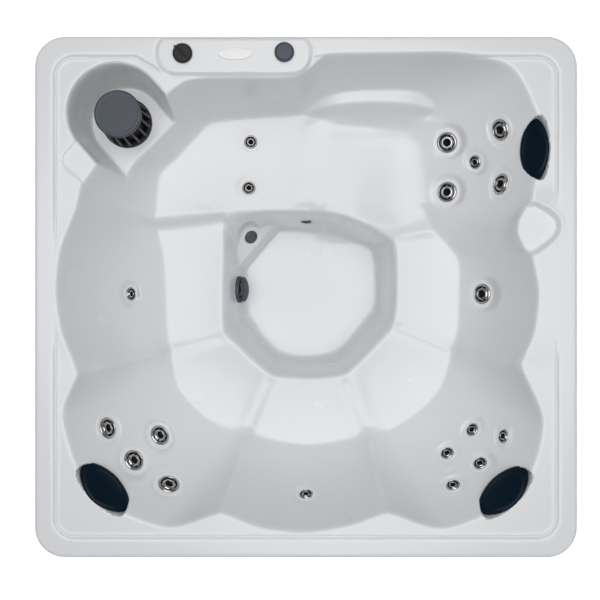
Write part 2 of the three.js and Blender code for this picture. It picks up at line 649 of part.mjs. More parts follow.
const headLink = tails.right[0].clone().add(new THREE.Vector3(0, HALF_WIDTH * 0.16, 0));
const supply = trunkPoint(SUPPLY_X, SUPPLY_Y);
lines.right.push(tee(supply), run([
  trunkPoint(HEATER_START + HEATER_LENGTH + GAP, PUMP_Y, HEATER_Z),
  trunkPoint(SUPPLY_X, PUMP_Y, HEATER_Z),
  trunkPoint(SUPPLY_X, SUPPLY_Y, HEATER_Z),
  supply,
]));
const linkX = headLink.x;
const linkY = headLink.y;
const lineStarts = { left: [], right: [trunkPoint(linkX, linkY)], head: [] };
const lineEnds = {
  left: [trunkPoint(SUPPLY_X - TEE_RADIUS - GAP - TRUNK_PAST, SUPPLY_Y)],
  right: [supply],
  head: [
    trunkPoint(linkX, linkY + TRUNK_RADIUS * 4),
    trunkPoint(linkX, linkY + GAP + TRUNK_PAST * 2),
  ],
};
for (const [line, bodies] of Object.entries(lines)) {
  const corners = tails[line].map((tail) => trunkPoint(tail.x, tail.y));
  const points = [...lineStarts[line], ...corners, ...lineEnds[line]];
  const stretch = (to, i) => solid(bar(points[i], to, TRUNK_RADIUS, PIPE_SIDES, TRUNK_PAST));
  const trunk = points.slice(1).map(stretch);
  const drops = tails[line].map((tail, i) => solid(bar(corners[i], tail, DROP_RADIUS, PIPE_SIDES)));
  addPiece(`jet_line_${line}`, union([...bodies, ...trunk, ...drops]), 'pipe');
}

// Footwell fittings
const guardAt = surfaceAlong(
  new THREE.Vector3(0, GUARD_Y, RIM_HEIGHT - FLOOR + GUARD_ABOVE_FLOOR),
  new THREE.Vector3(-1, 0, 0),
);
const guardPlace = placeAt(guardAt.point, guardAt.normal);
cutFitting(guardPlace, FITTING_HOLE, GUARD_RADIUS, FITTING_SIDES);
const fittingBore = FITTING_HOLE * 0.8;
const suctionFitting = fittingBody(FITTING_HOLE, fittingBore, FITTING_LENGTH, FITTING_SIDES);
addPiece('suction_fitting', suctionFitting, 'pipe', guardPlace);
const guardSeat = GAP - JET_RECESS_DEPTH;
const guardSlot = GUARD_RISE * 0.12;
let guard = solid(turned([
  [0, guardSeat], [GUARD_RADIUS, guardSeat], [GUARD_RADIUS, GUARD_RISE * 0.4],
  [GUARD_RADIUS * 0.86, GUARD_RISE * 0.8], [GUARD_RADIUS * 0.5, GUARD_RISE], [0, GUARD_RISE],
], ROUND_SIDES));
for (let i = -2; i <= 2; i += 1) {
  const x = i * GUARD_RADIUS * 0.3;
  const reach = GUARD_RADIUS * 0.62;
  const slot = box(x - guardSlot, -reach, GUARD_RISE * 0.45, x + guardSlot, reach, GUARD_RISE * 2);
  guard = guard.subtract(solid(slot));
}
addPiece('suction_guard', guard, 'slate', guardPlace);

const lightAt = surfaceUnder(LIGHT_SHARES);
const lightPlace = placeAt(lightAt.point, lightAt.normal);
cutFitting(lightPlace, FITTING_HOLE, LIGHT_RADIUS, FITTING_SIDES);
const lensBarrel = fittingBore - GAP;
const lightHousing = fittingBody(FITTING_HOLE, fittingBore, FITTING_LENGTH, FITTING_SIDES);
addPiece('light_housing', lightHousing, 'white', lightPlace);
addPiece('light_lens', turned([
  [0, -FITTING_LENGTH * 0.4], [lensBarrel, -FITTING_LENGTH * 0.4], [lensBarrel, guardSeat],
  [LIGHT_RADIUS, guardSeat],
  [LIGHT_RADIUS * 0.93, guardSeat + LENS_RISE * 0.45], [LIGHT_RADIUS * 0.5, guardSeat + LENS_RISE * 0.9],
  [0, guardSeat + LENS_RISE],
], FITTING_SIDES), 'lens', lightPlace);

const outletFrom = new THREE.Vector3(0, 0, RIM_HEIGHT - FLOOR + OUTLET_ABOVE_FLOOR);
const outletAt = surfaceAlong(outletFrom, new THREE.Vector3(0, 1, 0));
const outletPlace = placeAt(outletAt.point, outletAt.normal);
const outletHole = FITTING_HOLE * 0.7;
cutFitting(outletPlace, outletHole, OUTLET_RADIUS, ROUND_SIDES);
const outletTop = guardSeat + OUTLET_RISE;
addPiece('return_fitting', turned([
  [0, -FITTING_LENGTH], [outletHole, -FITTING_LENGTH],
  [outletHole + JET_FLANGE, -JET_CLAMP_DEPTH - GAP], [outletHole - GAP, -JET_CLAMP_DEPTH - GAP],
  [outletHole - GAP, guardSeat], [OUTLET_RADIUS, guardSeat], [OUTLET_RADIUS * 0.9, outletTop - GAP * 3],
  [OUTLET_RADIUS * 0.5, outletTop], [OUTLET_RADIUS * 0.4, -FITTING_LENGTH * 0.3], [0, -FITTING_LENGTH * 0.3],
], ROUND_SIDES), 'slate', outletPlace);

// Filter group on the ledge
const canisterTop = LEDGE - WALL - GAP;
const canisterLow = canisterTop - CANISTER_DEPTH;
const flangeTop = LEDGE + GAP + CANISTER_WALL;
const canisterNeck = FILTER_HOLE - GAP;
const canisterBore = canisterNeck - CANISTER_WALL;
const filterHole = disc(FILTER_HOLE, LEDGE - WALL - OVERRUN, LEDGE + OVERRUN, ROUND_SIDES);
shell = shell.subtract(solid(filterHole.translate(FILTER_X, FILTER_Y, 0)));
const filterPlace = new THREE.Matrix4().makeTranslation(FILTER_X, FILTER_Y, 0);
addPiece('filter_housing', turned([
  [0, canisterLow], [CANISTER_RADIUS, canisterLow], [CANISTER_RADIUS, canisterTop],
  [canisterNeck, canisterTop], [canisterNeck, LEDGE + GAP], [BASKET_BOTTOM_RADIUS, LEDGE + GAP],
  [BASKET_BOTTOM_RADIUS, flangeTop],
  [canisterBore, flangeTop], [canisterBore, canisterLow + CANISTER_WALL], [0, canisterLow + CANISTER_WALL],
], ROUND_SIDES), 'pipe', filterPlace);

const pleats = new THREE.Shape();
for (let i = 0; i < CARTRIDGE_PLEATS * 2; i += 1) {
  const radius = CARTRIDGE_RADIUS * (i % 2 ? 0.86 : 1);
  const turn = (Math.PI * i) / CARTRIDGE_PLEATS;
  if (i === 0) pleats.moveTo(radius, 0);
  else pleats.lineTo(radius * Math.cos(turn), radius * Math.sin(turn));
}
pleats.closePath();
const cartridgeBore = new THREE.Path();
cartridgeBore.absarc(0, 0, CARTRIDGE_BORE, 0, 2 * Math.PI);
pleats.holes.push(cartridgeBore);
const cartridgeLow = canisterLow + CANISTER_WALL + GAP;
const cartridge = plate(pleats, cartridgeLow, cartridgeLow + CARTRIDGE_LENGTH, 5);
addPiece('filter_cartridge', cartridge, 'paper', filterPlace);

const basketLow = flangeTop + GAP;
const basketTop = basketLow + BASKET_HEIGHT;
let basket = solid(turnedRing([
  [BASKET_BOTTOM_RADIUS, basketLow], [BASKET_BOTTOM_RADIUS, basketLow + BASKET_WALL * 2],
  [BASKET_TOP_RADIUS, basketTop], [BASKET_TOP_RADIUS - BASKET_WALL, basketTop],
  [BASKET_BOTTOM_RADIUS - BASKET_WALL * 3, basketLow + BASKET_WALL],
  [BASKET_BOTTOM_RADIUS - BASKET_WALL * 5, basketLow],
], ROUND_SIDES));
for (let i = 0; i < BASKET_SLOTS; i += 1) {
  const slot = box(
    BASKET_TOP_RADIUS * 0.7, -SLOT_WIDTH / 2, basketLow + BASKET_HEIGHT * 0.16,
    BASKET_BOTTOM_RADIUS * 1.2, SLOT_WIDTH / 2, basketTop - BASKET_HEIGHT * 0.14,
  );
  basket = basket.subtract(solid(slot.rotateZ((2 * Math.PI * i) / BASKET_SLOTS)));
}
addPiece('skimmer_basket', basket, 'black', filterPlace);
const lidLow = basketTop + GAP;
const lidSkirt = BASKET_TOP_RADIUS - BASKET_WALL * 2;
addPiece('filter_lid', turned([
  [0, lidLow], [lidSkirt - BASKET_WALL, lidLow], [lidSkirt - BASKET_WALL, lidLow - LID_HEIGHT],
  [lidSkirt, lidLow - LID_HEIGHT], [lidSkirt, lidLow], [LID_RADIUS, lidLow],
  [LID_RADIUS, lidLow + LID_HEIGHT * 0.6], [LID_RADIUS * 0.94, lidLow + LID_HEIGHT],
  [0, lidLow + LID_HEIGHT * 1.1],
], ROUND_SIDES), 'slate', filterPlace);

// Controls on the raised panel
const knobPlace = new THREE.Matrix4().makeTranslation(KNOB_X, KNOB_Y, 0);
const knobHole = STEM_RADIUS + GAP;
const valveHole = disc(knobHole, SLAB_UNDER - OVERRUN, TOP, ROUND_SIDES);
shell = shell.subtract(solid(valveHole.translate(KNOB_X, KNOB_Y, 0)));
const stemTop = panelTop + KNOB_HEIGHT / 2;
addPiece('diverter_valve', turned([
  [0, SLAB_UNDER - VALVE_LENGTH], [VALVE_RADIUS, SLAB_UNDER - VALVE_LENGTH], [VALVE_RADIUS, SLAB_UNDER - GAP],
  [STEM_RADIUS, SLAB_UNDER - GAP], [STEM_RADIUS, stemTop], [0, stemTop],
], ROUND_SIDES), 'pipe', knobPlace);
const knobLow = panelTop + GAP;
const knobTop = knobLow + KNOB_HEIGHT;
const knobCup = solid(turned([
  [STEM_RADIUS + GAP, knobLow], [KNOB_RADIUS, knobLow], [KNOB_RADIUS * 0.94, knobTop - KNOB_HEIGHT * 0.35],
  [KNOB_RADIUS * 0.88, knobTop - KNOB_HEIGHT * 0.25], [0, knobTop - KNOB_HEIGHT * 0.25],
  [0, stemTop + GAP], [STEM_RADIUS + GAP, stemTop + GAP], [STEM_RADIUS + GAP, knobLow],
], ROUND_SIDES));
const knobGrip = solid(box(
  -KNOB_RADIUS * 0.8, -KNOB_RADIUS * 0.2, knobTop - KNOB_HEIGHT * 0.4,
  KNOB_RADIUS * 1.12, KNOB_RADIUS * 0.2, knobTop,
).rotateZ(Math.PI * 0.77));
addPiece('control_knob', knobCup.add(knobGrip), 'black', knobPlace);

const badge = new THREE.Shape();
badge.absellipse(0, 0, BADGE_HALF_LENGTH, BADGE_HALF_WIDTH, 0, 2 * Math.PI);
addPiece('badge_plate', plate(badge, panelTop + GAP, panelTop + GAP + BADGE_THICKNESS, 11), 'white',
  new THREE.Matrix4().makeTranslation(BADGE_X, KNOB_Y, 0));

const buttonPlace = new THREE.Matrix4().makeTranslation(BUTTON_X, BUTTON_Y, 0);
const buttonHole = disc(BEZEL_NECK + GAP, SLAB_UNDER - OVERRUN, TOP, ROUND_SIDES);
shell = shell.subtract(solid(buttonHole.translate(BUTTON_X, BUTTON_Y, 0)));
const bezelLow = panelTop + GAP;
const bezelTop = bezelLow + BEZEL_HEIGHT;
const cupFloor = bezelLow + BEZEL_HEIGHT * 0.25;
const housingLow = SLAB_UNDER - VALVE_RADIUS;
addPiece('button_housing', turned([
  [0, housingLow], [BEZEL_NECK, housingLow], [BEZEL_NECK, bezelLow], [BEZEL_RADIUS, bezelLow],
  [BEZEL_RADIUS, bezelTop - EASE], [BEZEL_RADIUS - EASE, bezelTop], [BUTTON_RADIUS + GAP, bezelTop],
  [BUTTON_RADIUS + GAP, cupFloor],
  [BUTTON_STEM + GAP, cupFloor], [BUTTON_STEM + GAP, housingLow + BUTTON_TRAVEL],
  [0, housingLow + BUTTON_TRAVEL],
], ROUND_SIDES), 'slate', buttonPlace);
const capLow = cupFloor + GAP + BUTTON_TRAVEL;
const stemLow = housingLow + BUTTON_TRAVEL * 2 + GAP;
addPiece('push_button', turned([
  [0, stemLow], [BUTTON_STEM, stemLow], [BUTTON_STEM, capLow], [BUTTON_RADIUS, capLow],
  [BUTTON_RADIUS, bezelTop], [BUTTON_RADIUS * 0.9, bezelTop + EASE], [0, bezelTop + EASE],
], ROUND_SIDES), 'slate', buttonPlace);

for (const pillow of PILLOWS) addPiece(pillow.name, pillowGeometry(), 'navy', pillowPlace(pillow));

addPiece('shell', shell, 'acrylic');

// Base, cabinet boards and corner posts
const cabinetX = HALF_LENGTH - PANEL_INSET;
const cabinetY = HALF_WIDTH - PANEL_INSET;
const cabinetCorner = RIM_CORNER - PANEL_INSET;
const baseShape = roundedShape(cabinetX + BASE_OUT, cabinetY + BASE_OUT, cabinetCorner + BASE_OUT);
const trayShape = roundedShape(cabinetX - BASE_EDGE, cabinetY - BASE_EDGE, cabinetCorner);
const tray = solid(plate(trayShape, BASE_FLOOR, BASE_HEIGHT + OVERRUN));
addPiece('base_pan', solid(plate(baseShape, 0, BASE_HEIGHT)).subtract(tray), 'black');
const boardLow = BASE_HEIGHT + GAP;
const boardTop = SLAB_UNDER - GAP;
const spanX = cabinetX - cabinetCorner - GAP;
const spanY = cabinetY - cabinetCorner - GAP;

// A board that faces -Y, with upright grooves and an optional ledge inside its top edge
function board(halfSpan, face, low, high, ledge) {
  const shape = new THREE.Shape();
  shape.moveTo(-halfSpan, face + BOARD);
  shape.lineTo(-halfSpan, face);
  for (let i = 1; i <= GROOVES; i += 1) {
    const x = -halfSpan + (2 * halfSpan * i) / (GROOVES + 1);
    shape.lineTo(x - GROOVE_WIDTH / 2, face);
    shape.lineTo(x, face + GROOVE_DEPTH);
    shape.lineTo(x + GROOVE_WIDTH / 2, face);
  }
  shape.lineTo(halfSpan, face);
  shape.lineTo(halfSpan, face + BOARD);
  shape.closePath();
  const front = solid(plate(shape, low, high));
  if (!ledge) return front;
  const inside = face + BOARD + ledge;
  return front.add(solid(box(-halfSpan, face + BOARD / 2, high - BOARD, halfSpan, inside, high)));
}

function turnedBody(body, quarterTurns) {
  return body.rotate([0, 0, 90 * quarterTurns]);
}

const skirtBottom = RIM_HEIGHT - SKIRT_DEPTH;
const doorTop = skirtBottom - DOOR_GAP * 3;
addPiece('access_door', board(spanX, -cabinetY, boardLow, doorTop, 0), 'cabinet');
addPiece('front_header', board(spanX, -cabinetY, doorTop + DOOR_GAP, boardTop, BOARD_FLANGE), 'cabinet');
const drainAt = new THREE.Vector3(-cabinetX, GLAND_Y, GLAND_Z);
const glandAt = new THREE.Vector3(cabinetX, GLAND_Y, GLAND_Z);
const throughBoard = new THREE.Vector3(BOARD, 0, 0);
const drainBar = bar(drainAt, drainAt.clone().add(throughBoard), DRAIN_RADIUS + GAP, ROUND_SIDES, OVERRUN);
const glandBar = bar(glandAt, glandAt.clone().sub(throughBoard), GLAND_RADIUS + GAP, FITTING_SIDES, OVERRUN);
const sideBoard = board(spanY, -cabinetX, boardLow, boardTop, BOARD_FLANGE);
addPiece('side_panel_right', turnedBody(sideBoard, 1).subtract(solid(glandBar)), 'cabinet');
addPiece('side_panel_left', turnedBody(sideBoard, 3).subtract(solid(drainBar)), 'cabinet');
const notchCut = disc(BEZEL_NECK + FIT * 2, boardTop - BOARD * 2, TOP, ROUND_SIDES);
const notch = (x, y) => solid(notchCut.clone().translate(x, y, 0));
addPiece('back_panel', turnedBody(board(spanX, -cabinetY, boardLow, boardTop, BOARD_FLANGE), 2)
  .subtract(notch(KNOB_X, KNOB_Y)).subtract(notch(BUTTON_X, BUTTON_Y)), 'cabinet');
const CORNERS = [['front_left', -1, -1], ['front_right', 1, -1], ['back_right', 1, 1], ['back_left', -1, 1]];
for (const [name, sx, sy] of CORNERS) {
  const post = new THREE.Shape();
  const turn = Math.atan2(sy, sx) - Math.PI / 4;
  post.moveTo(0, 0);
  post.absarc(0, 0, cabinetCorner, 0, Math.PI / 2);
  post.closePath();
  const geometry = plate(post, boardLow, boardTop, 4).rotateZ(turn);
  geometry.translate(sx * (cabinetX - cabinetCorner), sy * (cabinetY - cabinetCorner), 0);
  addPiece(`corner_post_${name}`, geometry, 'cabinet');
}
const blockTop = RIM_HEIGHT - FLOOR - WALL - GAP;
const blockLow = BASE_FLOOR + GAP;
addPiece('footwell_block', box(-BLOCK_HALF, -BLOCK_HALF, blockLow, BLOCK_HALF, BLOCK_HALF, blockTop), 'foam');

// Pump: the wet end, the impeller in it and the motor, all on one axis along X
const pumpPlace = placeAt(new THREE.Vector3(WET_END_X, PUMP_Y, PUMP_Z), new THREE.Vector3(1, 0, 0));
const wetInner = WET_END_RADIUS - WET_END_WALL;
const wetEndInner = WET_END_LENGTH - WET_END_WALL;
const sleeve = SHAFT_RADIUS + GAP;
let wetEnd = solid(turnedRing([
  [TRUNK_RADIUS, 0], [WET_END_RADIUS, 0], [WET_END_RADIUS, WET_END_LENGTH], [sleeve, WET_END_LENGTH],
  [sleeve, wetEndInner], [wetInner, wetEndInner], [wetInner, WET_END_WALL], [TRUNK_RADIUS, WET_END_WALL],
], ROUND_SIDES).applyMatrix4(pumpPlace));
const dischargeX = WET_END_X + WET_END_LENGTH / 2;
const foot = WET_END_RADIUS * 0.7;
const wetFoot = box(
  WET_END_X + WET_END_WALL, PUMP_Y - foot, BASE_FLOOR + GAP,
  WET_END_X + wetEndInner, PUMP_Y + foot, PUMP_Z - WET_END_RADIUS * 0.6,
);
const wetHollow = solid(disc(wetInner, WET_END_WALL, wetEndInner, ROUND_SIDES).applyMatrix4(pumpPlace));
wetEnd = wetEnd.add(solid(wetFoot).subtract(wetHollow));
const dischargeTop = PUMP_Z + WET_END_RADIUS + TRUNK_RADIUS;
const socket = disc(TEE_RADIUS, PUMP_Z + wetInner, dischargeTop, FITTING_SIDES)
  .translate(dischargeX, PUMP_Y, 0);
const socketBore = disc(TRUNK_RADIUS * 0.8, PUMP_Z, dischargeTop + OVERRUN, FITTING_SIDES)
  .translate(dischargeX, PUMP_Y, 0);
wetEnd = wetEnd.add(solid(socket).subtract(wetHollow)).subtract(solid(socketBore));
addPiece('pump_wet_end', wetEnd, 'black');
const vane = solid(disc(IMPELLER_RADIUS, WET_END_WALL * 3, WET_END_LENGTH - WET_END_WALL * 3, ROUND_SIDES));
const shaftEnd = WET_END_LENGTH + MOTOR_LENGTH * 0.2;
const shaft = solid(disc(SHAFT_RADIUS, WET_END_LENGTH / 2, shaftEnd, FITTING_SIDES));
let impeller = vane.add(shaft);
for (let i = 0; i < 6; i += 1) {
  const reach = IMPELLER_RADIUS * 2;
  const channel = box(SHAFT_RADIUS * 2, -SHAFT_RADIUS, WET_END_WALL, reach, SHAFT_RADIUS, WET_END_LENGTH / 2);
  impeller = impeller.subtract(solid(channel.rotateZ((Math.PI * i) / 3)));
}
addPiece('pump_impeller', impeller, 'black', pumpPlace);
const motorStart = WET_END_LENGTH + GAP;
const motorSleeve = turned([
  [sleeve, motorStart], [MOTOR_RADIUS, motorStart], [MOTOR_RADIUS, motorStart + MOTOR_LENGTH],
  [0, motorStart + MOTOR_LENGTH], [0, shaftEnd + GAP], [sleeve, shaftEnd + GAP], [sleeve, motorStart],
], ROUND_SIDES).applyMatrix4(pumpPlace);
const motorX = WET_END_X + motorStart;
const motorFoot = box(
  motorX + MOTOR_LENGTH * 0.25, PUMP_Y - foot, BASE_FLOOR + GAP,
  motorX + MOTOR_LENGTH * 0.85, PUMP_Y + foot, PUMP_Z - MOTOR_RADIUS * 0.6,
);
addPiece('pump_motor', solid(motorSleeve).add(solid(motorFoot)), 'motor');

// Pipes between the fittings, the pump, the heater and the jet lines
const suctionTail = guardAt.point.clone().addScaledVector(guardAt.normal, -FITTING_LENGTH - GAP);
const suctionElbow = suctionTail.clone().addScaledVector(guardAt.normal, -SUCTION_RUN);
const suctionX = suctionElbow.x;
const suctionRun = run([
  suctionTail,
  suctionElbow,
  trunkPoint(suctionX, suctionElbow.y, PUMP_Z),
  trunkPoint(suctionX, PUMP_Y, PUMP_Z),
  trunkPoint(WET_END_X - GAP, PUMP_Y, PUMP_Z),
]);
addPiece('suction_pipe', suctionRun.add(run([
  trunkPoint(FILTER_X, FILTER_Y, canisterLow - GAP),
  trunkPoint(FILTER_X, FILTER_Y, PUMP_Z),
  trunkPoint(suctionX - FILTER_PIPE_SIDE, FILTER_Y, PUMP_Z),
  trunkPoint(suctionX - FILTER_PIPE_SIDE, GUARD_Y, PUMP_Z),
  trunkPoint(suctionX, GUARD_Y, PUMP_Z),
])), 'pipe');

// Heater
const heaterInlet = run([
  trunkPoint(dischargeX, PUMP_Y, dischargeTop + GAP),
  trunkPoint(dischargeX, PUMP_Y, HEATER_Z),
  trunkPoint(HEATER_START + TRUNK_RADIUS, PUMP_Y, HEATER_Z),
]);
const heaterFrom = trunkPoint(HEATER_START, PUMP_Y, HEATER_Z);
const heaterTo = trunkPoint(HEATER_START + HEATER_LENGTH, PUMP_Y, HEATER_Z);
const heaterBody = solid(bar(heaterFrom, heaterTo, HEATER_RADIUS, ROUND_SIDES));
addPiece('heater', heaterBody.add(heaterInlet), 'steel');

// Electrics and drain
addPiece('control_box', box(
  BOX_X, BOX_Y, BASE_FLOOR + GAP, BOX_X + BOX_LENGTH, BOX_Y + BOX_DEPTH, BASE_FLOOR + GAP + BOX_HEIGHT,
), 'motor');
const glandPlace = placeAt(glandAt, new THREE.Vector3(1, 0, 0));
addPiece('power_gland', turnedRing([
  [GLAND_RADIUS * 0.5, -BOARD * 3], [GLAND_RADIUS, -BOARD * 3], [GLAND_RADIUS, GAP],
  [GLAND_RADIUS * 1.5, GAP], [GLAND_RADIUS * 1.5, BOARD * 0.6], [GLAND_RADIUS * 0.8, BOARD], [GLAND_RADIUS * 0.5, BOARD],
], FITTING_SIDES), 'black', glandPlace);
const drainPlace = placeAt(drainAt, new THREE.Vector3(-1, 0, 0));
addPiece('drain_spout', turned([
  [0, -DRAIN_LENGTH], [DRAIN_RADIUS, -DRAIN_LENGTH], [DRAIN_RADIUS, BOARD * 0.4],
  [DRAIN_RADIUS * 0.7, BOARD * 0.4],
  [DRAIN_RADIUS * 0.7, -BOARD * 2], [0, -BOARD * 2],
], ROUND_SIDES), 'pipe', drainPlace);
addPiece('drain_cap', turned([
  [0, -BOARD], [DRAIN_RADIUS * 0.7 - GAP, -BOARD], [DRAIN_RADIUS * 0.7 - GAP, BOARD * 0.4 + GAP],
  [DRAIN_RADIUS, BOARD * 0.4 + GAP], [DRAIN_RADIUS, BOARD * 1.3], [0, BOARD * 1.3],
], ROUND_SIDES), 'slate', drainPlace);

export default group;
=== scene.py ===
# %% [markdown]
# # A square hot tub with a lounger
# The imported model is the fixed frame: it says where every piece is and how it moves. This script gives each piece
# its real surface and finish. Shapes are worked out in millimetres, because the tub's sizes are easier to read that
# way, and become metres when the meshes are made.

# %% Load the frame
import json
import math
import bmesh
import bpy
import numpy as np
from mathutils import Matrix, Vector
from mathutils.bvhtree import BVHTree


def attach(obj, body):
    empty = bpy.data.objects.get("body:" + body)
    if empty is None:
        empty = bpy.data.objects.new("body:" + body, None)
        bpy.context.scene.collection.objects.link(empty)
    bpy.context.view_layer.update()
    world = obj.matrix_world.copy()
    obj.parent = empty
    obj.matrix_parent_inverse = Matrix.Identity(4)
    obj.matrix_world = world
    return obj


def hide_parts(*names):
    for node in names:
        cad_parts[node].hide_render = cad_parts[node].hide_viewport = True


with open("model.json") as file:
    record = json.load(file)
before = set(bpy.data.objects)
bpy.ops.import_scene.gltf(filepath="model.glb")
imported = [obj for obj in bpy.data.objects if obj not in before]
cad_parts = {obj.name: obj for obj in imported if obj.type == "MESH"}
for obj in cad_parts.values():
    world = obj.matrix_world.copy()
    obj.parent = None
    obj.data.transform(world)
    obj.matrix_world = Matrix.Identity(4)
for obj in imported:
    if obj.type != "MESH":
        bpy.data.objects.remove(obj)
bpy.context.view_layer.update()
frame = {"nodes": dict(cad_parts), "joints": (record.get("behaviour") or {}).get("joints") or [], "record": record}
MM = 0.001

# %% [markdown]
# ## Camera
# The tub was photographed from straight above, so the camera hangs over it and looks down.
# A camera without rotation looks along -Z with +Y up in the picture, which is what is wanted.

# %% Camera
CAMERA_HEIGHT, FOCAL_PIXELS, PICTURE_PIXELS, SENSOR = 3.86, 811.5, 600, 36
camera = bpy.data.objects.new("camera", bpy.data.cameras.new("camera"))
bpy.context.scene.collection.objects.link(camera)
camera.location = (0, 0, CAMERA_HEIGHT)
camera.data.sensor_width = SENSOR
camera.data.lens = FOCAL_PIXELS / PICTURE_PIXELS * SENSOR
camera.data.shift_x, camera.data.shift_y = -0.01, -0.005
camera.data.clip_end = 50
bpy.context.scene.camera = camera
print("camera height", camera.location.z)

# %% [markdown]
# ## Studio
# A pale floor takes the shadow. Camera, mirror and glass rays see it lifted to white through Light Path,
# so no extra light falls on the tub and the shadow stays. One big soft lamp hangs overhead and a weak one leans
# in from the panel side, which leaves the wall under the panel a little darker.

# %% Studio
FLOOR_LIFT, SKY, SKY_SEEN, FLOOR_HALF = 0.7, 0.16, 1.1, 14


def set_inputs(node, values):
    for socket, value in values.items():
        node.inputs[socket].default_value = value


def add_node(nodes, kind, inputs=None, **settings):
    """Adds a shader node with its settings and the values of its sockets."""
    node = nodes.new("ShaderNode" + kind)
    for name, value in settings.items():
        setattr(node, name, value)
    set_inputs(node, inputs or {})
    return node


def new_material(name):
    """A material with its Principled shader, and short ways to add nodes and links."""
    material = bpy.data.materials.new(name)
    material.use_nodes = True
    nodes, links = material.node_tree.nodes, material.node_tree.links
    return material, nodes, links, nodes["Principled BSDF"]


def white_to_camera(nodes, links, shader):
    """Adds a plain glow for camera, mirror and glass rays, and nothing for the light on the tub."""
    path = add_node(nodes, "LightPath")
    seen = path.outputs["Is Camera Ray"]
    for ray in ("Is Glossy Ray", "Is Transmission Ray"):
        either = add_node(nodes, "Math", operation="MAXIMUM")
        links.new(seen, either.inputs[0])
        links.new(path.outputs[ray], either.inputs[1])
        seen = either.outputs["Value"]
    level = add_node(nodes, "Math", {1: FLOOR_LIFT}, operation="MULTIPLY")
    links.new(seen, level.inputs[0])
    glow, both = add_node(nodes, "Emission"), add_node(nodes, "AddShader")
    links.new(level.outputs["Value"], glow.inputs["Strength"])
    links.new(shader.outputs["BSDF"], both.inputs[0])
    links.new(glow.outputs["Emission"], both.inputs[1])
    links.new(both.outputs["Shader"], nodes["Material Output"].inputs["Surface"])


def new_object(name, bm, materials):
    """Turns a bmesh into a linked object with smooth faces."""
    mesh = bpy.data.meshes.new(name)
    for face in bm.faces:
        face.smooth = True
    bm.to_mesh(mesh)
    bm.free()
    thing = bpy.data.objects.new(name, mesh)
    for material in materials:
        mesh.materials.append(material)
    bpy.context.scene.collection.objects.link(thing)
    return thing


floor_material, nodes, links, shader = new_material("studio_floor")
set_inputs(shader, {"Base Color": (0.8, 0.8, 0.8, 1), "Roughness": 0.9})
white_to_camera(nodes, links, shader)
bm = bmesh.new()
bmesh.ops.create_grid(bm, x_segments=4, y_segments=4, size=FLOOR_HALF)
floor = new_object("studio_floor", bm, [floor_material])

world = bpy.data.worlds.new("studio")
bpy.context.scene.world = world
world.use_nodes = True
nodes, links = world.node_tree.nodes, world.node_tree.links
background = nodes["Background"]
set_inputs(background, {"Color": (0.95, 0.97, 1.0, 1), "Strength": SKY})
sky_level = add_node(nodes, "MapRange", {"To Min": SKY, "To Max": SKY_SEEN})
links.new(add_node(nodes, "LightPath").outputs["Is Camera Ray"], sky_level.inputs["Value"])
links.new(sky_level.outputs["Result"], background.inputs["Strength"])


def area_lamp(name, place, target, size, power):
    """A soft lamp at a place, turned to a target."""
    lamp = bpy.data.objects.new(name, bpy.data.lights.new(name, "AREA"))
    lamp.data.shape = "RECTANGLE"
    lamp.data.size, lamp.data.size_y = size
    lamp.data.energy = power
    lamp.location = place
    lamp.rotation_euler = (Vector(target) - Vector(place)).to_track_quat("-Z", "Y").to_euler()
    bpy.context.scene.collection.objects.link(lamp)


area_lamp("overhead", (0.1, 0.1, 5.8), (0, 0, 0.5), (5.6, 5.2), 226)
area_lamp("panel_side", (-1.2, 4.4, 3.4), (0, -0.2, 0.5), (3.5, 1.8), 8)
bpy.context.scene.view_settings.view_transform = "Standard"
print("studio ready")

# %% [markdown]
# ## Shell: sizes
# The shell is one vacuum-formed sheet. A sheet like that has no undercuts seen from above, so its top can be
# described by one height for each place in plan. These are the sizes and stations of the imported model. Each station
# gives four places in thousandths of the half length and half width: the opening, the foot of the back, the seat's
# front edge and the footwell's floor edge. Then come the seat's depths at its back and front, and a 0 at a cusp.

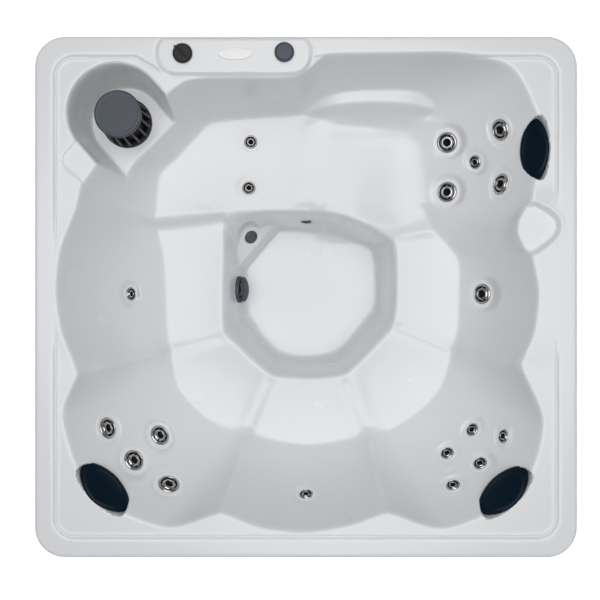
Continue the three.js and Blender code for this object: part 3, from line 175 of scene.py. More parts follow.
# %% Sizes of the shell
HALF_LENGTH, HALF_WIDTH, RIM_HEIGHT, RIM_CORNER = 1005.0, 965.0, 860.0, 112.0
LAND_WIDTH, LAND_DROP, SKIRT_DEPTH, SKIRT_WALL = 76.0, 8.0, 75.0, 8.0
FLOOR, CORNER, SEAT, FRONT, HIP, KNEE, LEG, SEAT_DISH = 770, 465, 455, 440, 428, 375, 387, 9
DECK = RIM_HEIGHT - LAND_DROP
STATIONS = [
    (852, 19, 652, 22, 380, 22, 324, 72, SEAT, FRONT, 1),
    (830, 150, 648, 172, 380, 154, 319, 159, SEAT, FRONT, 1),
    (811, 280, 550, 291, 371, 237, 300, 231, SEAT, FRONT, 0),
    (841, 426, 500, 381, 328, 267, 259, 260, HIP, HIP, 1),
    (870, 641, 470, 510, 278, 298, 203, 279, HIP, HIP, 1),
    (767, 876, 440, 690, 214, 329, 148, 294, HIP, HIP, 1),
    (575, 931, 360, 785, 147, 354, 92, 303, HIP, HIP, 1),
    (317, 931, 172, 799, 80, 367, 37, 313, HIP, HIP, 1),
    (77, 926, 25, 797, 4, 366, -14, 318, KNEE, KNEE, 0),
    (-33, 841, -87, 791, -83, 367, -74, 323, LEG, LEG, 1),
    (-243, 837, -253, 778, -183, 367, -125, 323, LEG, LEG, 1),
    (-428, 830, -398, 756, -257, 367, -162, 284, LEG, LEG, 1),
    (-531, 757, -457, 700, -299, 367, -194, 241, LEG, LEG, 1),
    (-642, 649, -531, 614, -324, 363, -222, 207, LEG, LEG, 1),
    (-752, 534, -610, 527, -336, 354, -245, 178, LEG, LEG, 1),
    (-826, 438, -628, 335, -341, 362, -263, 159, LEG, LEG, 0),
    (-845, 346, -631, 300, -346, 330, -273, 130, SEAT, FRONT, 0),
    (-900, 188, -606, 181, -346, 180, -273, 72, SEAT, FRONT, 1),
    (-917, 19, -593, 22, -350, 31, -273, 14, SEAT, FRONT, 1),
    (-893, -146, -589, -137, -350, -110, -268, -43, SEAT, FRONT, 1),
    (-841, -296, -580, -243, -342, -167, -263, -77, SEAT, FRONT, 0),
    (-896, -465, -535, -412, -291, -211, -240, -120, CORNER, FRONT, 1),
    (-793, -753, -421, -531, -236, -264, -208, -178, CORNER, FRONT, 1),
    (-520, -882, -314, -588, -186, -307, -176, -217, CORNER, FRONT, 1),
    (-317, -826, -238, -610, -135, -347, -139, -255, SEAT, FRONT, 0),
    (-170, -883, -131, -635, -76, -351, -83, -279, SEAT, FRONT, 1),
    (-4, -901, 4, -653, 8, -356, -5, -289, SEAT, FRONT, 1),
    (162, -876, 148, -635, 105, -351, 74, -279, SEAT, FRONT, 1),
    (299, -826, 267, -610, 160, -343, 134, -260, SEAT, FRONT, 0),
    (520, -887, 353, -588, 215, -294, 185, -221, CORNER, FRONT, 1),
    (786, -753, 476, -504, 266, -242, 231, -164, CORNER, FRONT, 1),
    (874, -488, 569, -403, 316, -189, 277, -101, CORNER, FRONT, 1),
    (789, -265, 627, -247, 363, -132, 310, -58, SEAT, FRONT, 0),
    (837, -127, 648, -124, 375, -61, 324, -5, SEAT, FRONT, 1),
]
stations = np.array(STATIONS, float)
stations[:, :8] /= 1000
halves = np.array([HALF_LENGTH, HALF_WIDTH])
print("stations", len(stations))

# %% [markdown]
# ## Shell: the bathing well
# Smooth closed curves run through the stations, one for the floor, the seat fronts, the backs and the opening.
# Between them the surface is stretched over a plain grid, bent round until it closes. Rays cast straight down
# onto it then give the height of the well at every place in plan.

# %% Rings of the bathing well
AROUND = 16


def mix(a, b, share):
    return a + (b - a) * share


def smooth_ring(points, corner=0.0, tension=0.4):
    """A closed curve through the rows of points, AROUND steps from one to the next. A row may be a corner."""
    before, after = np.roll(points, 1, 0), np.roll(points, -1, 0)
    leave = mix(tension * (after - before), 2 * tension * (after - points), corner)
    arrive = np.roll(mix(tension * (after - before), 2 * tension * (points - before), corner), -1, 0)
    t = (np.arange(AROUND) / AROUND)[None, :, None]
    p, q, a, b = points[:, None], after[:, None], leave[:, None], arrive[:, None]
    curve = p + a * t + (-3 * p + 3 * q - 2 * a - b) * t ** 2 + (2 * p - 2 * q + a + b) * t ** 3
    return curve.reshape(-1, points.shape[1])


def station_ring(column, depth):
    """The ring of one pair of columns at a depth. The two upper rings have cusps, the two lower ones are rounder."""
    places = stations[:, column:column + 2] * halves
    points = np.column_stack([places, np.broadcast_to(RIM_HEIGHT - depth, len(places))])
    cusp, tension = (0.75, 0.4) if column < 4 else (0.0, 0.25)
    return smooth_ring(points, (1 - stations[:, 10:11]) * cusp, tension)


def between(low, high, run, rise, sink=0.0):
    """A ring between two others, a share of the way across and a share of the way up, less a dish."""
    ring = low + (high - low) * (run, run, rise)
    ring[:, 2] -= sink
    return ring


floor_ring, front_ring = station_ring(6, FLOOR), station_ring(4, stations[:, 9])
back_ring, opening_ring = station_ring(2, stations[:, 8]), station_ring(0, LAND_DROP)
dish = SEAT_DISH * np.clip(smooth_ring(stations[:, 10:11]), 0, 1)[:, 0]
COVE = [(0.22, 0.06), (0.34, 0.20), (0.45, 0.42), (0.60, 0.66), (0.78, 0.87), (0.90, 0.96)]
CENTRE_SHARE, OVER_RIM, OUT_OF_RIM = 0.0005, 70.0, 12
centre = floor_ring.mean(0)
inner = centre + (floor_ring - centre) * (CENTRE_SHARE, CENTRE_SHARE, 1)
above = opening_ring + (0, 0, OVER_RIM)
above[:, :2] += OUT_OF_RIM * opening_ring[:, :2] / np.linalg.norm(opening_ring[:, :2], axis=1)[:, None]
seat_rings = [between(front_ring, back_ring, t, t, 4 * t * (1 - t) * dish) for t in np.linspace(0.06, 0.94, 9)]
wall_rings = [between(opening_ring, back_ring, t, t * (1.75 - t + t * t / 4)) for t in np.linspace(0.9, 0.1, 9)]
profile_rings = [
    inner, floor_ring, *(between(floor_ring, front_ring, run, rise) for run, rise in COVE), front_ring,
    *seat_rings, back_ring, *wall_rings, opening_ring, above]
print("points round each ring", len(opening_ring))


# %% Surface of the bathing well
def grid_through(places):
    """A grid bmesh whose points are put at the places of an array."""
    nx, ny = places.shape[0] - 1, places.shape[1] - 1
    bm = bmesh.new()
    bmesh.ops.create_grid(bm, x_segments=nx, y_segments=ny, size=1)
    for vert in bm.verts:
        vert.co = places[round((vert.co.x + 1) / 2 * nx), round((vert.co.y + 1) / 2 * ny)]
    return bm


bm = grid_through(np.stack([np.vstack([ring, ring[:1]]) for ring in profile_rings], 1))
well_tree = BVHTree.FromBMesh(bm)
print("well faces", len(bm.faces))
bm.free()

# %% Heights over the plan
STEP, MARGIN, RAY_START, FAR_ABOVE, FAR_BELOW = 2.5, 5, 1200, 2000, -2000
plan_x = np.arange(-HALF_LENGTH - MARGIN, HALF_LENGTH + MARGIN + STEP, STEP)
plan_y = np.arange(-HALF_WIDTH - MARGIN, HALF_WIDTH + MARGIN + STEP, STEP)
X, Y = np.meshgrid(plan_x, plan_y, indexing="ij")
basin = np.full(X.shape, float(FAR_ABOVE))
over_well = (np.abs(X) <= HALF_LENGTH * 0.95) & (np.abs(Y) <= HALF_WIDTH * 0.96)
for i, j in np.argwhere(over_well).tolist():
    hit = well_tree.ray_cast(Vector((plan_x[i], plan_y[j], RAY_START)), Vector((0, 0, -1)))[0]
    if hit is not None:
        basin[i, j] = hit.z
print("heights", basin.shape, "lowest", basin.min())


# %% Helpers for shaping heights
def blur(heights, radius, axes=(0, 1)):
    """Softens heights with a bell curve of that radius in millimetres, along each axis in turn."""
    reach = int(math.ceil(radius * 2.6 / STEP))
    weights = np.exp(-0.5 * (np.arange(-reach, reach + 1) * STEP / radius) ** 2)
    weights /= weights.sum()
    for axis in axes:
        padded = np.pad(heights, [(reach, reach) if a == axis else (0, 0) for a in (0, 1)], mode="edge")
        size = heights.shape[axis]
        heights = sum(w * np.take(padded, range(k, k + size), axis) for k, w in enumerate(weights))
    return heights


def smooth_step(low, high, value):
    t = np.clip((value - low) / (high - low), 0, 1)
    return t * t * (3 - 2 * t)


def smooth_max(a, b, fillet):
    """The higher of two heights, with a fillet where they meet."""
    return (a + b + np.sqrt((a - b) ** 2 + fillet ** 2)) / 2


def rounded_box_distance(x, y, half_x, half_y, corner):
    """Distance outside a rounded rectangle, negative inside."""
    dx, dy = np.abs(x) - half_x + corner, np.abs(y) - half_y + corner
    return np.hypot(np.maximum(dx, 0), np.maximum(dy, 0)) + np.minimum(np.maximum(dx, dy), 0) - corner


def line_places(start, end):
    """Distances over the plan along a line and off to its side, and the line's length."""
    (ax, ay), (bx, by) = start, end
    long = math.hypot(bx - ax, by - ay)
    run = ((X - ax) * (bx - ax) + (Y - ay) * (by - ay)) / long
    off = ((X - ax) * (by - ay) - (Y - ay) * (bx - ax)) / long
    return run, off, long


print("helpers ready")

# %% [markdown]
# ## Shell: deck, filter well, shelves and armrest
# The rim's land is a flat band. A shallow step leads down to the deck and fades out where the side seats come
# close to the edge. The filter well, the two cup shelves and the armrest are each a height of their own.
# The lower or the higher of two heights is kept, and a blur rounds the edge between them as the sheet does.

# %% Deck and its step
LAND_CORNER, STEP_HALF, GROOVE_WIDTH = 70, 13, 3.8
land_line = rounded_box_distance(X, Y, HALF_LENGTH - LAND_WIDTH, HALF_WIDTH - LAND_WIDTH, LAND_CORNER)
past_filter = (X + 640) * 0.493 + (Y - 893) * 0.870
land_line = np.where(X < -505, np.maximum(land_line, past_filter), land_line)
fade_left = smooth_step(150, 320, Y) + smooth_step(-90, -240, Y)
fade_right = smooth_step(330, 420, Y) + smooth_step(-130, -280, Y)
fade = np.where(X < 0, np.where(X < -700, fade_left, 1), np.where(X > 700, fade_right, 1))
fade = np.clip(fade, 0, 1)
deck = RIM_HEIGHT - LAND_DROP * (smooth_step(STEP_HALF, -STEP_HALF, land_line) * fade)
land_groove = np.exp(-(land_line / GROOVE_WIDTH) ** 2) * fade
print("deck from", deck.min(), "to", deck.max())

# %% Filter well
FILTER_X, FILTER_Y, WELL_RADIUS, WELL_DRAFT, LEDGE_DEPTH = -708, 689, 177, 27, 228
MOUTH_TURN, MOUTH_REACH = -0.852, 262
LEDGE = RIM_HEIGHT - LEDGE_DEPTH
mouth_x, mouth_y = math.cos(MOUTH_TURN), math.sin(MOUTH_TURN)
out_x, out_y = X - FILTER_X, Y - FILTER_Y
forward, sideways = out_x * mouth_x + out_y * mouth_y, np.abs(-out_x * mouth_y + out_y * mouth_x)
well_reach = np.where(forward < 0, np.hypot(out_x, out_y), sideways)
well_wall = np.maximum(well_reach - (WELL_RADIUS - WELL_DRAFT), 0)
in_well = (forward < MOUTH_REACH) & (well_reach < WELL_RADIUS + 20)
filter_well = np.where(in_well, LEDGE + well_wall * (LEDGE_DEPTH / WELL_DRAFT), FAR_ABOVE)
print("ledge at", LEDGE)

# %% Cup shelves
LEFT_DROP, RIGHT_DROP, LIP = 7, 14, 2.5
LEFT_SHELF = [
    (-742, 492), (-800, 410), (-841, 463), (-878, 490), (-897, 517),
    (-893, 547), (-856, 587), (-838, 620), (-765, 548),
]
RIGHT_SHELF = [
    (762, 266), (815, 150), (911, 218), (938, 268), (920, 318), (820, 375),
]


def shelf_distance(outline):
    """Distance outside a shelf, negative inside. Each corner of its outline is cut to round it."""
    points = np.array(outline) / 1000 * halves
    after = np.roll(points, -1, 0)
    points = np.stack([mix(points, after, 0.25), mix(points, after, 0.75)], 1).reshape(-1, 2)
    nearest, inside = np.full(X.shape, 1e9), np.zeros(X.shape, bool)
    for (ax, ay), (bx, by) in zip(points, np.roll(points, -1, 0)):
        dx, dy = bx - ax, by - ay
        along = np.clip(((X - ax) * dx + (Y - ay) * dy) / (dx ** 2 + dy ** 2 + 1e-9), 0, 1)
        nearest = np.minimum(nearest, np.hypot(X - ax - along * dx, Y - ay - along * dy))
        with np.errstate(divide="ignore", invalid="ignore"):
            inside ^= ((ay > Y) != (by > Y)) & (X < dx * (Y - ay) / dy + ax)
    return np.where(inside, -nearest, nearest)


left_shelf, right_shelf = shelf_distance(LEFT_SHELF), shelf_distance(RIGHT_SHELF)
shelf_height = DECK - RIGHT_DROP
deck = mix(deck, DECK - LEFT_DROP, smooth_step(4, -4, left_shelf))
deck = mix(deck, shelf_height, smooth_step(4, -3, right_shelf))
deck = deck + LIP * np.exp(-((right_shelf - 9) / 5) ** 2) * smooth_step(835, 860, X)
print("shelves at", DECK - LEFT_DROP, "and", shelf_height)

# %% Armrest on the back wall
ARMREST_TOP, ARM_X, ARM_HALF, ARM_FRONT = RIM_HEIGHT - 272, 284, 305, 785
ARM_BOW, ARM_SAG, ARM_END, ARM_SLOPE, ARM_FILLET = 26, 132, 1500, 2.3, 55
along_arm = (X - ARM_X) / ARM_HALF
arm_top = ARMREST_TOP - ARM_SAG * np.abs(along_arm) ** 4 - ARM_END * np.maximum(np.abs(along_arm) - 0.96, 0)
before_arm = np.maximum(ARM_FRONT - ARM_BOW * along_arm ** 2 - Y, 0)
arm_low = np.where((np.abs(along_arm) < 1.3) & (Y > 450), arm_top - ARM_SLOPE * before_arm, FAR_BELOW)
fillet = ARM_FILLET * smooth_step(10, 50, before_arm) * smooth_step(160, 90, before_arm)
fillet = fillet * smooth_step(1.1, 0.8, np.abs(along_arm))
print("armrest at", ARMREST_TOP)

# %% Sheet: join the heights
WELL_TOP, WELL_BLUR, LOUNGER_BLUR, SHEET_BLUR = 1100, 6, (44, 9), 5.5
THIGH = (
    (-200, -100, -40, 30, 75, 100, 125, 150, 175, 200, 225, 300, 380, 440, 500, 560, 620),
    (0, 0, -4, 4, 21, 31, 35, 37, 36.5, 35, 31.5, 20, 7, -1, -5, -3, 0))
basin = np.minimum(basin, WELL_TOP)
lounger = smooth_step(-150, -60, X) * smooth_step(620, 480, X)
lounger = lounger * smooth_step(365, 400, Y) * smooth_step(800, 730, Y)
well = mix(blur(basin, WELL_BLUR), blur(blur(basin, LOUNGER_BLUR[0], axes=(0,)), LOUNGER_BLUR[1]), lounger)
thigh = blur(np.interp(X, *THIGH), 22, axes=(0,))
well = well + thigh * smooth_step(240, 310, Y) * smooth_step(770, 690, Y)
well = smooth_max(well, arm_low, fillet)
well = np.maximum(well, np.where(right_shelf < 0, shelf_height, FAR_BELOW))
heights = blur(np.minimum(np.minimum(deck, well), filter_well), SHEET_BLUR)

# The raised control panel, and the fine grooves on the deck
PANEL_X, PANEL_Y, PANEL_HALF_LENGTH, PANEL_HALF_WIDTH, PANEL_CORNER, PANEL_RISE = -266, 901, 284, 76, 73, 12.5
panel_line = rounded_box_distance(X - PANEL_X, Y - PANEL_Y, PANEL_HALF_LENGTH, PANEL_HALF_WIDTH, PANEL_CORNER)
heights = mix(heights, DECK + PANEL_RISE, smooth_step(5, -7, panel_line))
grooves = 2.6 * np.exp(-((panel_line - 9) / GROOVE_WIDTH) ** 2) + 2.4 * np.exp(-(left_shelf / GROOVE_WIDTH) ** 2)
grooves = grooves + 6.0 * land_groove * smooth_step(14, 22, panel_line)
heights = heights - smooth_step(822, 848, heights) * grooves

# Soft creases between the seats, and ridges from each crease up to the scallops' cusps
CREASE_DEPTH, CREASE_WIDTH, RIDGE_RISE, RIDGE_WIDTH, RIDGE_ROUND = 7, 22, 42, 34, 7
CREASES = [
    ((-586, -229), (-352, -170)), ((-144, -335), (-242, -565)), ((161, -344), (259, -565)),
    ((374, -119), (624, -225)), ((374, 259), (535, 284)),
]
RIDGES = [
    ((-586, -229), (-846, -286)), ((-242, -565), (-319, -801)), ((259, -565), (297, -801)),
    ((624, -225), (798, -256)),
]
for start, end in CREASES:
    run, off, long = line_places(start, end)
    ends = smooth_step(-20, 30, run) * smooth_step(long + 30, long - 20, run)
    heights = heights - CREASE_DEPTH * np.exp(-(off / CREASE_WIDTH) ** 2) * ends
for start, end in RIDGES:
    run, off, long = line_places(start, end)
    crest = np.exp(-(np.sqrt(off ** 2 + RIDGE_ROUND ** 2) - RIDGE_ROUND) / RIDGE_WIDTH)
    heights = heights + RIDGE_RISE * crest * smooth_step(-20, 50, run) * smooth_step(long - 8, long - 80, run)
print("heights from", heights.min(), "to", heights.max())

# %% [markdown]
# ## Shell: seats for the fittings
# Every jet, lamp and pillow needs a flat seat in the curved sheet. Each seat is a plane through the fitting,
# square to its axis, that the heights are drawn to near it.


# %% Flat seats
def plane_offsets(point, normal):
    """The height of a plane over the plan, and each of its places as an offset from the point."""
    plane = point[2] - ((X - point[0]) * normal[0] + (Y - point[1]) * normal[1]) / normal[2]
    return plane, np.stack([X - point[0], Y - point[1], plane - point[2]], -1)


def flat_seat(point, normal, radius, blend, depth=0.0):
    """Draws the sheet to the plane through a point, within a radius across the axis."""
    global heights
    point, normal = np.array(point), np.array(normal) / np.linalg.norm(normal)
    plane, offset = plane_offsets(point, normal)
    reach = np.linalg.norm(offset - (offset @ normal)[..., None] * normal, axis=-1)
    heights = mix(heights, plane - depth / normal[2], smooth_step(radius + blend, radius, reach))


joint_of = {joint["child"]: joint for joint in frame["joints"]}
jets = {name: joint for name, joint in joint_of.items() if name.startswith("jet_")}
LARGE_JETS = [
    "jet_back_low_rear", "jet_back_high_rear", "jet_back_high_front", "jet_back_low_front",
    "jet_left_outer", "jet_left_middle", "jet_left_upper", "jet_left_lower", "jet_side_right",
]
RECESS_DEPTH = 18


def jet_size(name):
    """The radii of a jet's face, of its flat seat and of the recess behind it."""
    return (41.0, 54, 36) if name in LARGE_JETS else (27.0, 38, 23)


for name, joint in jets.items():
    place, axis = np.array(joint["pos_m"]) / MM, np.array(joint["axis"])
    _, seat, recess = jet_size(name)
    flat_seat(place, axis, seat, 26)
    flat_seat(place, axis, recess, 11, depth=RECESS_DEPTH)
print("flat seats for", len(jets), "jets")


# %% Places of the footwell fittings
def fitting_place(name, below):
    """The seat of a turned node: its axis is the direction of its largest flat, which faces into the wall."""
    mesh = frame["nodes"][name].data
    flats = {}
    for face in mesh.polygons:
        key = tuple(round(n, 2) for n in face.normal)
        flats[key] = flats.get(key, 0) + face.area
    axis = -Vector(max(flats, key=flats.get)).normalized()
    along = [vert.co.dot(axis) for vert in mesh.vertices]
    lowest = [vert.co for vert, h in zip(mesh.vertices, along) if h < min(along) + 0.0005]
    spots = {tuple(round(c, 5) for c in spot) for spot in lowest}
    middle = sum((Vector(spot) for spot in spots), Vector()) / len(spots)
    point = middle + axis * below * MM
    print(name, [round(c, 4) for c in point], [round(c, 3) for c in axis])
    return point, axis


guard_point, guard_axis = fitting_place("suction_guard", 2.7)
lamp_point, lamp_axis = fitting_place("light_lens", 22)
outlet_point, outlet_axis = fitting_place("return_fitting", 55)

# The lamp looks up from a chamfered corner: a slope down to the edge of its flat, then a drop to the floor
LAMP_RISE, LAMP_FLAT, LAMP_DROP_RUN, LAMP_FILLET = 0.80, 42, 26, 12
lamp_run = math.sqrt(1 - LAMP_RISE ** 2)
lamp_axis = Vector((lamp_axis.x, lamp_axis.y, 0)).normalized() * lamp_run + Vector((0, 0, LAMP_RISE))
lamp_x, lamp_y, lamp_z = np.array(lamp_point) / MM
lamp_slope = lamp_run / LAMP_RISE
before_lamp = ((X - lamp_x) * lamp_axis.x + (Y - lamp_y) * lamp_axis.y) / lamp_run
lamp_above = lamp_z - (RIM_HEIGHT - FLOOR)
corner_drop = (lamp_above - LAMP_FLAT * lamp_slope) / LAMP_DROP_RUN
chamfer = lamp_z - 1 - lamp_slope * before_lamp - corner_drop * np.maximum(before_lamp - LAMP_FLAT, 0)
filled = smooth_max(heights, chamfer, LAMP_FILLET)
heights = mix(heights, filled, smooth_step(190, 150, np.hypot(X - lamp_x, Y - lamp_y)))
flat_seat((lamp_x, lamp_y, lamp_z), lamp_axis, 50, 12)
flat_seat(np.array(guard_point) / MM, guard_axis, 66, 22)
flat_seat(np.array(outlet_point) / MM, outlet_axis, 30, 14)
print("lamp above the floor", lamp_above)

# %% Seats of the pillows
PILLOW_SEATS = {
    "pillow_head": (876.9, 555.1, 776.2),
    "pillow_corner_left": (-767.7, -726.4, 776.2),
    "pillow_corner_right": (753.2, -738.4, 776.2),
}
PILLOW_IN, PILLOW_OUT = 57.0, {"pillow_head": 43.0, "pillow_corner_left": 57.0, "pillow_corner_right": 57.0}
PILLOW_ROOM = (0, 22, 30, 36, 42), (1.02, 1.02, 0.97, 0.88, 0.76)
RECESS_HALF, RECESS_TOP, RECESS_STEP, OUTER_TRIM = 117, 42, 3, 8
pillow_lines = []
for name, seat in PILLOW_SEATS.items():
    normal = np.array(joint_of[name]["axis"])
    inward = normal[:2] / np.linalg.norm(normal[:2])
    along = np.array([inward[1], -inward[0], 0.0])
    plane, offset = plane_offsets(seat, normal)
    u, v = offset @ along / RECESS_HALF, -(offset @ np.cross(normal, along))
    for high in range(RECESS_TOP, -1, -RECESS_STEP):
        shifted = v + high * math.tan(math.acos(normal[2]))
        shifted = np.where(shifted > 0, shifted / (PILLOW_OUT[name] - OUTER_TRIM), shifted / PILLOW_IN)
        reach = (np.abs(u) ** 1.82 + np.abs(shifted) ** 1.74) ** (1 / 1.78) / np.interp(high, *PILLOW_ROOM)
        lower = plane + high / normal[2]
        heights = mix(heights, np.minimum(heights, lower) if high else lower, smooth_step(1.0, 0.93, reach))
    pillow_lines.append(np.clip((reach - 1) * 60, -50, 50))
print("seats for", len(PILLOW_SEATS), "pillows")

# %% [markdown]
# ## Shell: the mesh
# A flat grid is rounded at its corners to the rim's outline. Then its points slide in plan until all edges have
# about the same length along the sheet, so that steep walls get as many faces as the flats. Last, each
# point takes its height, and the rim's edge is extruded down into the skirt.

# %% Grid in plan
GRID_X, GRID_Y, EDGE_ROUND, RELAX_TURNS, PULL, EVENING, GATHER = 292, 280, 12.0, 90, 0.45, 0.75, 9


def to_rim(u, v, half_x, half_y, corner):
    """Rounds the corners of a rectangle: each square corner becomes a quarter disc."""
    x, y = u * half_x, v * half_y
    a, b = np.maximum(np.abs(x) - half_x + corner, 0), np.maximum(np.abs(y) - half_y + corner, 0)
    ra, rb = a * np.sqrt(1 - b ** 2 / (2 * corner ** 2)), b * np.sqrt(1 - a ** 2 / (2 * corner ** 2))
    return x - np.sign(x) * (a - ra), y - np.sign(y) * (b - rb)


def sample(field, x, y):
    """Reads a field of the plan at any places, straight between its points."""
    fx = np.clip((x - plan_x[0]) / STEP, 0, len(plan_x) - 1.001)
    fy = np.clip((y - plan_y[0]) / STEP, 0, len(plan_y) - 1.001)
    i, j = fx.astype(int), fy.astype(int)
    s, t = fx - i, fy - j
    return ((field[i, j] * (1 - s) + field[i + 1, j] * s) * (1 - t)
            + (field[i, j + 1] * (1 - s) + field[i + 1, j + 1] * s) * t)


def crossing(line, extra):
    """A made-up height that steps at a line, so that points gather there."""
    return extra * np.tanh(line / GATHER)


detail = (crossing(land_line, 34) + crossing(panel_line - 6, 30) + crossing(left_shelf, 22)
          + crossing(right_shelf, 16) + sum(crossing(line, 22) for line in pillow_lines))


def fair_spacing(x, y):
    """Spreads the points of every row and then every column evenly along the sheet."""
    for axis in (0, 1):
        fields = [np.moveaxis(field, axis, 0) for field in (x, y, sample(heights, x, y), sample(detail, x, y))]
        run = np.cumsum(np.sqrt(sum(np.diff(field, axis=0) ** 2 for field in fields)), axis=0)
        run = np.vstack([np.zeros(run.shape[1]), run]) / run[-1]
        even = np.linspace(0, 1, run.shape[0])
        for k in range(1, run.shape[1] - 1):
            aim = mix(run[:, k], even, EVENING)
            fields[0][:, k], fields[1][:, k] = [np.interp(aim, run[:, k], field[:, k]) for field in fields[:2]]
    return x, y


def relaxed_plan(count_x, count_y, inset, turns):
    """Points of a grid in plan, slid until the edges on the sheet are about equally long, with more at the lines."""
    u, v = np.meshgrid(np.linspace(-1, 1, count_x + 1), np.linspace(-1, 1, count_y + 1), indexing="ij")
    x, y = to_rim(u, v, HALF_LENGTH - inset, HALF_WIDTH - inset, RIM_CORNER - inset)
    for turn in range(turns):
        if turn in (0, 10):
            x, y = fair_spacing(x, y)
        z, q = sample(heights, x, y), sample(detail, x, y)
        for axis in (0, 1):
            inside, lead, tail = (
                tuple(part if a == axis else slice(None) for a in (0, 1))
                for part in (slice(1, -1), slice(1, None), slice(None, -1)))
            step = np.sqrt(sum(np.diff(field, axis=axis) ** 2 for field in (x, y, z, q)))
            ahead, behind = step[lead], step[tail]
            for field in (x, y):
                change = np.diff(field, axis=axis)
                moved = field.copy()
                moved[inside] += PULL * ((change[lead] * ahead - change[tail] * behind) / (ahead + behind))
                field[1:-1, 1:-1] = moved[1:-1, 1:-1]
    return x, y


mesh_x, mesh_y = relaxed_plan(GRID_X, GRID_Y, EDGE_ROUND, RELAX_TURNS)
print("grid", mesh_x.shape)


# %% Mesh of the shell
def sheet_mesh(x, y, field):
    """A grid laid on a field of heights, in metres."""
    return grid_through(np.stack([x, y, sample(field, x, y)], -1) * MM)


def face_up(bm):
    """Turns the faces of an open sheet so that they point up."""
    bmesh.ops.recalc_face_normals(bm, faces=bm.faces)
    if sum(face.normal.z for face in bm.faces) < 0:
        bmesh.ops.reverse_faces(bm, faces=bm.faces)


def extrude_rim(bm, moves):
    """Extrudes the open edge again and again. Each move gives a distance outwards and a height."""
    rim = [edge for edge in bm.edges if edge.is_boundary]
    for out, height in moves:
        made = bmesh.ops.extrude_edge_only(bm, edges=rim)["geom"]
        rim = [part for part in made if isinstance(part, bmesh.types.BMEdge)]
        for vert in {vert for edge in rim for vert in edge.verts}:
            x, y = vert.co.x / MM, vert.co.y / MM
            cx = max(abs(x) - HALF_LENGTH + RIM_CORNER, 0) * math.copysign(1, x)
            cy = max(abs(y) - HALF_WIDTH + RIM_CORNER, 0) * math.copysign(1, y)
            length, reach = math.hypot(cx, cy) or 1, RIM_CORNER + out
            vert.co = ((x - cx + cx / length * reach) * MM, (y - cy + cy / length * reach) * MM, height * MM)


SKIRT_LOW, SKIRT_BEND, SKIRT_INSIDE = RIM_HEIGHT - SKIRT_DEPTH, RIM_HEIGHT - 40, DECK - 24
quarter = [(EDGE_ROUND * (math.sin(t) - 1), RIM_HEIGHT - EDGE_ROUND * (1 - math.cos(t)))
           for t in np.linspace(0.35, math.pi / 2, 5)]
bm = sheet_mesh(mesh_x, mesh_y, heights)
extrude_rim(bm, quarter + [
    (0, SKIRT_BEND), (0, SKIRT_LOW + 3), (-2, SKIRT_LOW), (-SKIRT_WALL, SKIRT_LOW), (-SKIRT_WALL, SKIRT_INSIDE)])
face_up(bm)
median_edge = np.median([edge.calc_length() for edge in bm.edges]) / MM
print("shell faces", len(bm.faces), "edge lengths", round(median_edge, 2))

# %% [markdown]
# ## Finish of the shell
# The sheet is off-white acrylic with a deep gloss: faint clouds in the colour, a clear coat and the
# slight waviness of a formed sheet. The clouds and the grain are one shader group that every finish uses.

# %% Shared finish groups
clouds_group = bpy.data.node_groups.new("clouds_and_grain", "ShaderNodeTree")
for socket, value in (("Cloud Scale", 6), ("Grain Scale", 400)):
    made = clouds_group.interface.new_socket(socket, in_out="INPUT", socket_type="NodeSocketFloat")
    made.default_value = value
for socket in ("Cloud", "Grain"):
    clouds_group.interface.new_socket(socket, in_out="OUTPUT", socket_type="NodeSocketFloat")
nodes, links = clouds_group.nodes, clouds_group.links
given, taken = nodes.new("NodeGroupInput"), nodes.new("NodeGroupOutput")
for mask, octaves in (("Cloud", 3.0), ("Grain", 2.0)):
    noise = add_node(nodes, "TexNoise", {"Detail": octaves, "Roughness": 0.5})
    links.new(add_node(nodes, "TexCoord").outputs["Object"], noise.inputs["Vector"])
    links.new(given.outputs[mask + " Scale"], noise.inputs["Scale"])
    links.new(noise.outputs["Fac"], taken.inputs[mask])


def add_ramp(nodes, links, source, target, stops):
    """A colour ramp from a mask to a socket, given as places and colours."""
    made = add_node(nodes, "ValToRGB")
    while len(made.color_ramp.elements) < len(stops):
        made.color_ramp.elements.new(0.5)
    for element, (place, colour) in zip(made.color_ramp.elements, stops):
        element.position, element.color = place, (*colour, 1)
    links.new(source, made.inputs["Fac"])
    links.new(made.outputs["Color"], target)


def add_bump(nodes, links, source, target, strength, distance):
    relief = add_node(nodes, "Bump", {"Strength": strength, "Distance": distance})
    links.new(source, relief.inputs["Height"])
    links.new(relief.outputs["Normal"], target)


def finish(name, colour, spread=0.03, rough=(0.3, 0.4), bump=0.1, depth=0.0004, cloud=6, grain=400,
           metallic=0.0, coat=0.0, coat_rough=0.05, specular=0.5):
    """A finish with its own clouds in the colour and the gloss, and a fine grain as a bump."""
    material, nodes, links, shader = new_material(name)
    group = add_node(nodes, "Group", {"Cloud Scale": cloud, "Grain Scale": grain}, node_tree=clouds_group)
    dark, light = (tuple(min(1, c * (1 + change)) for c in colour) for change in (-spread, spread))
    add_ramp(nodes, links, group.outputs["Cloud"], shader.inputs["Base Color"], [(0.15, dark), (0.85, light)])
    span = add_node(nodes, "MapRange", {"To Min": rough[0], "To Max": rough[1]})
    links.new(group.outputs["Cloud"], span.inputs["Value"])
    links.new(span.outputs["Result"], shader.inputs["Roughness"])
    add_bump(nodes, links, group.outputs["Grain"], shader.inputs["Normal"], bump, depth)
    set_inputs(shader, {"Metallic": metallic, "Coat Weight": coat, "Coat Roughness": coat_rough,
                        "Specular IOR Level": specular})
    return material


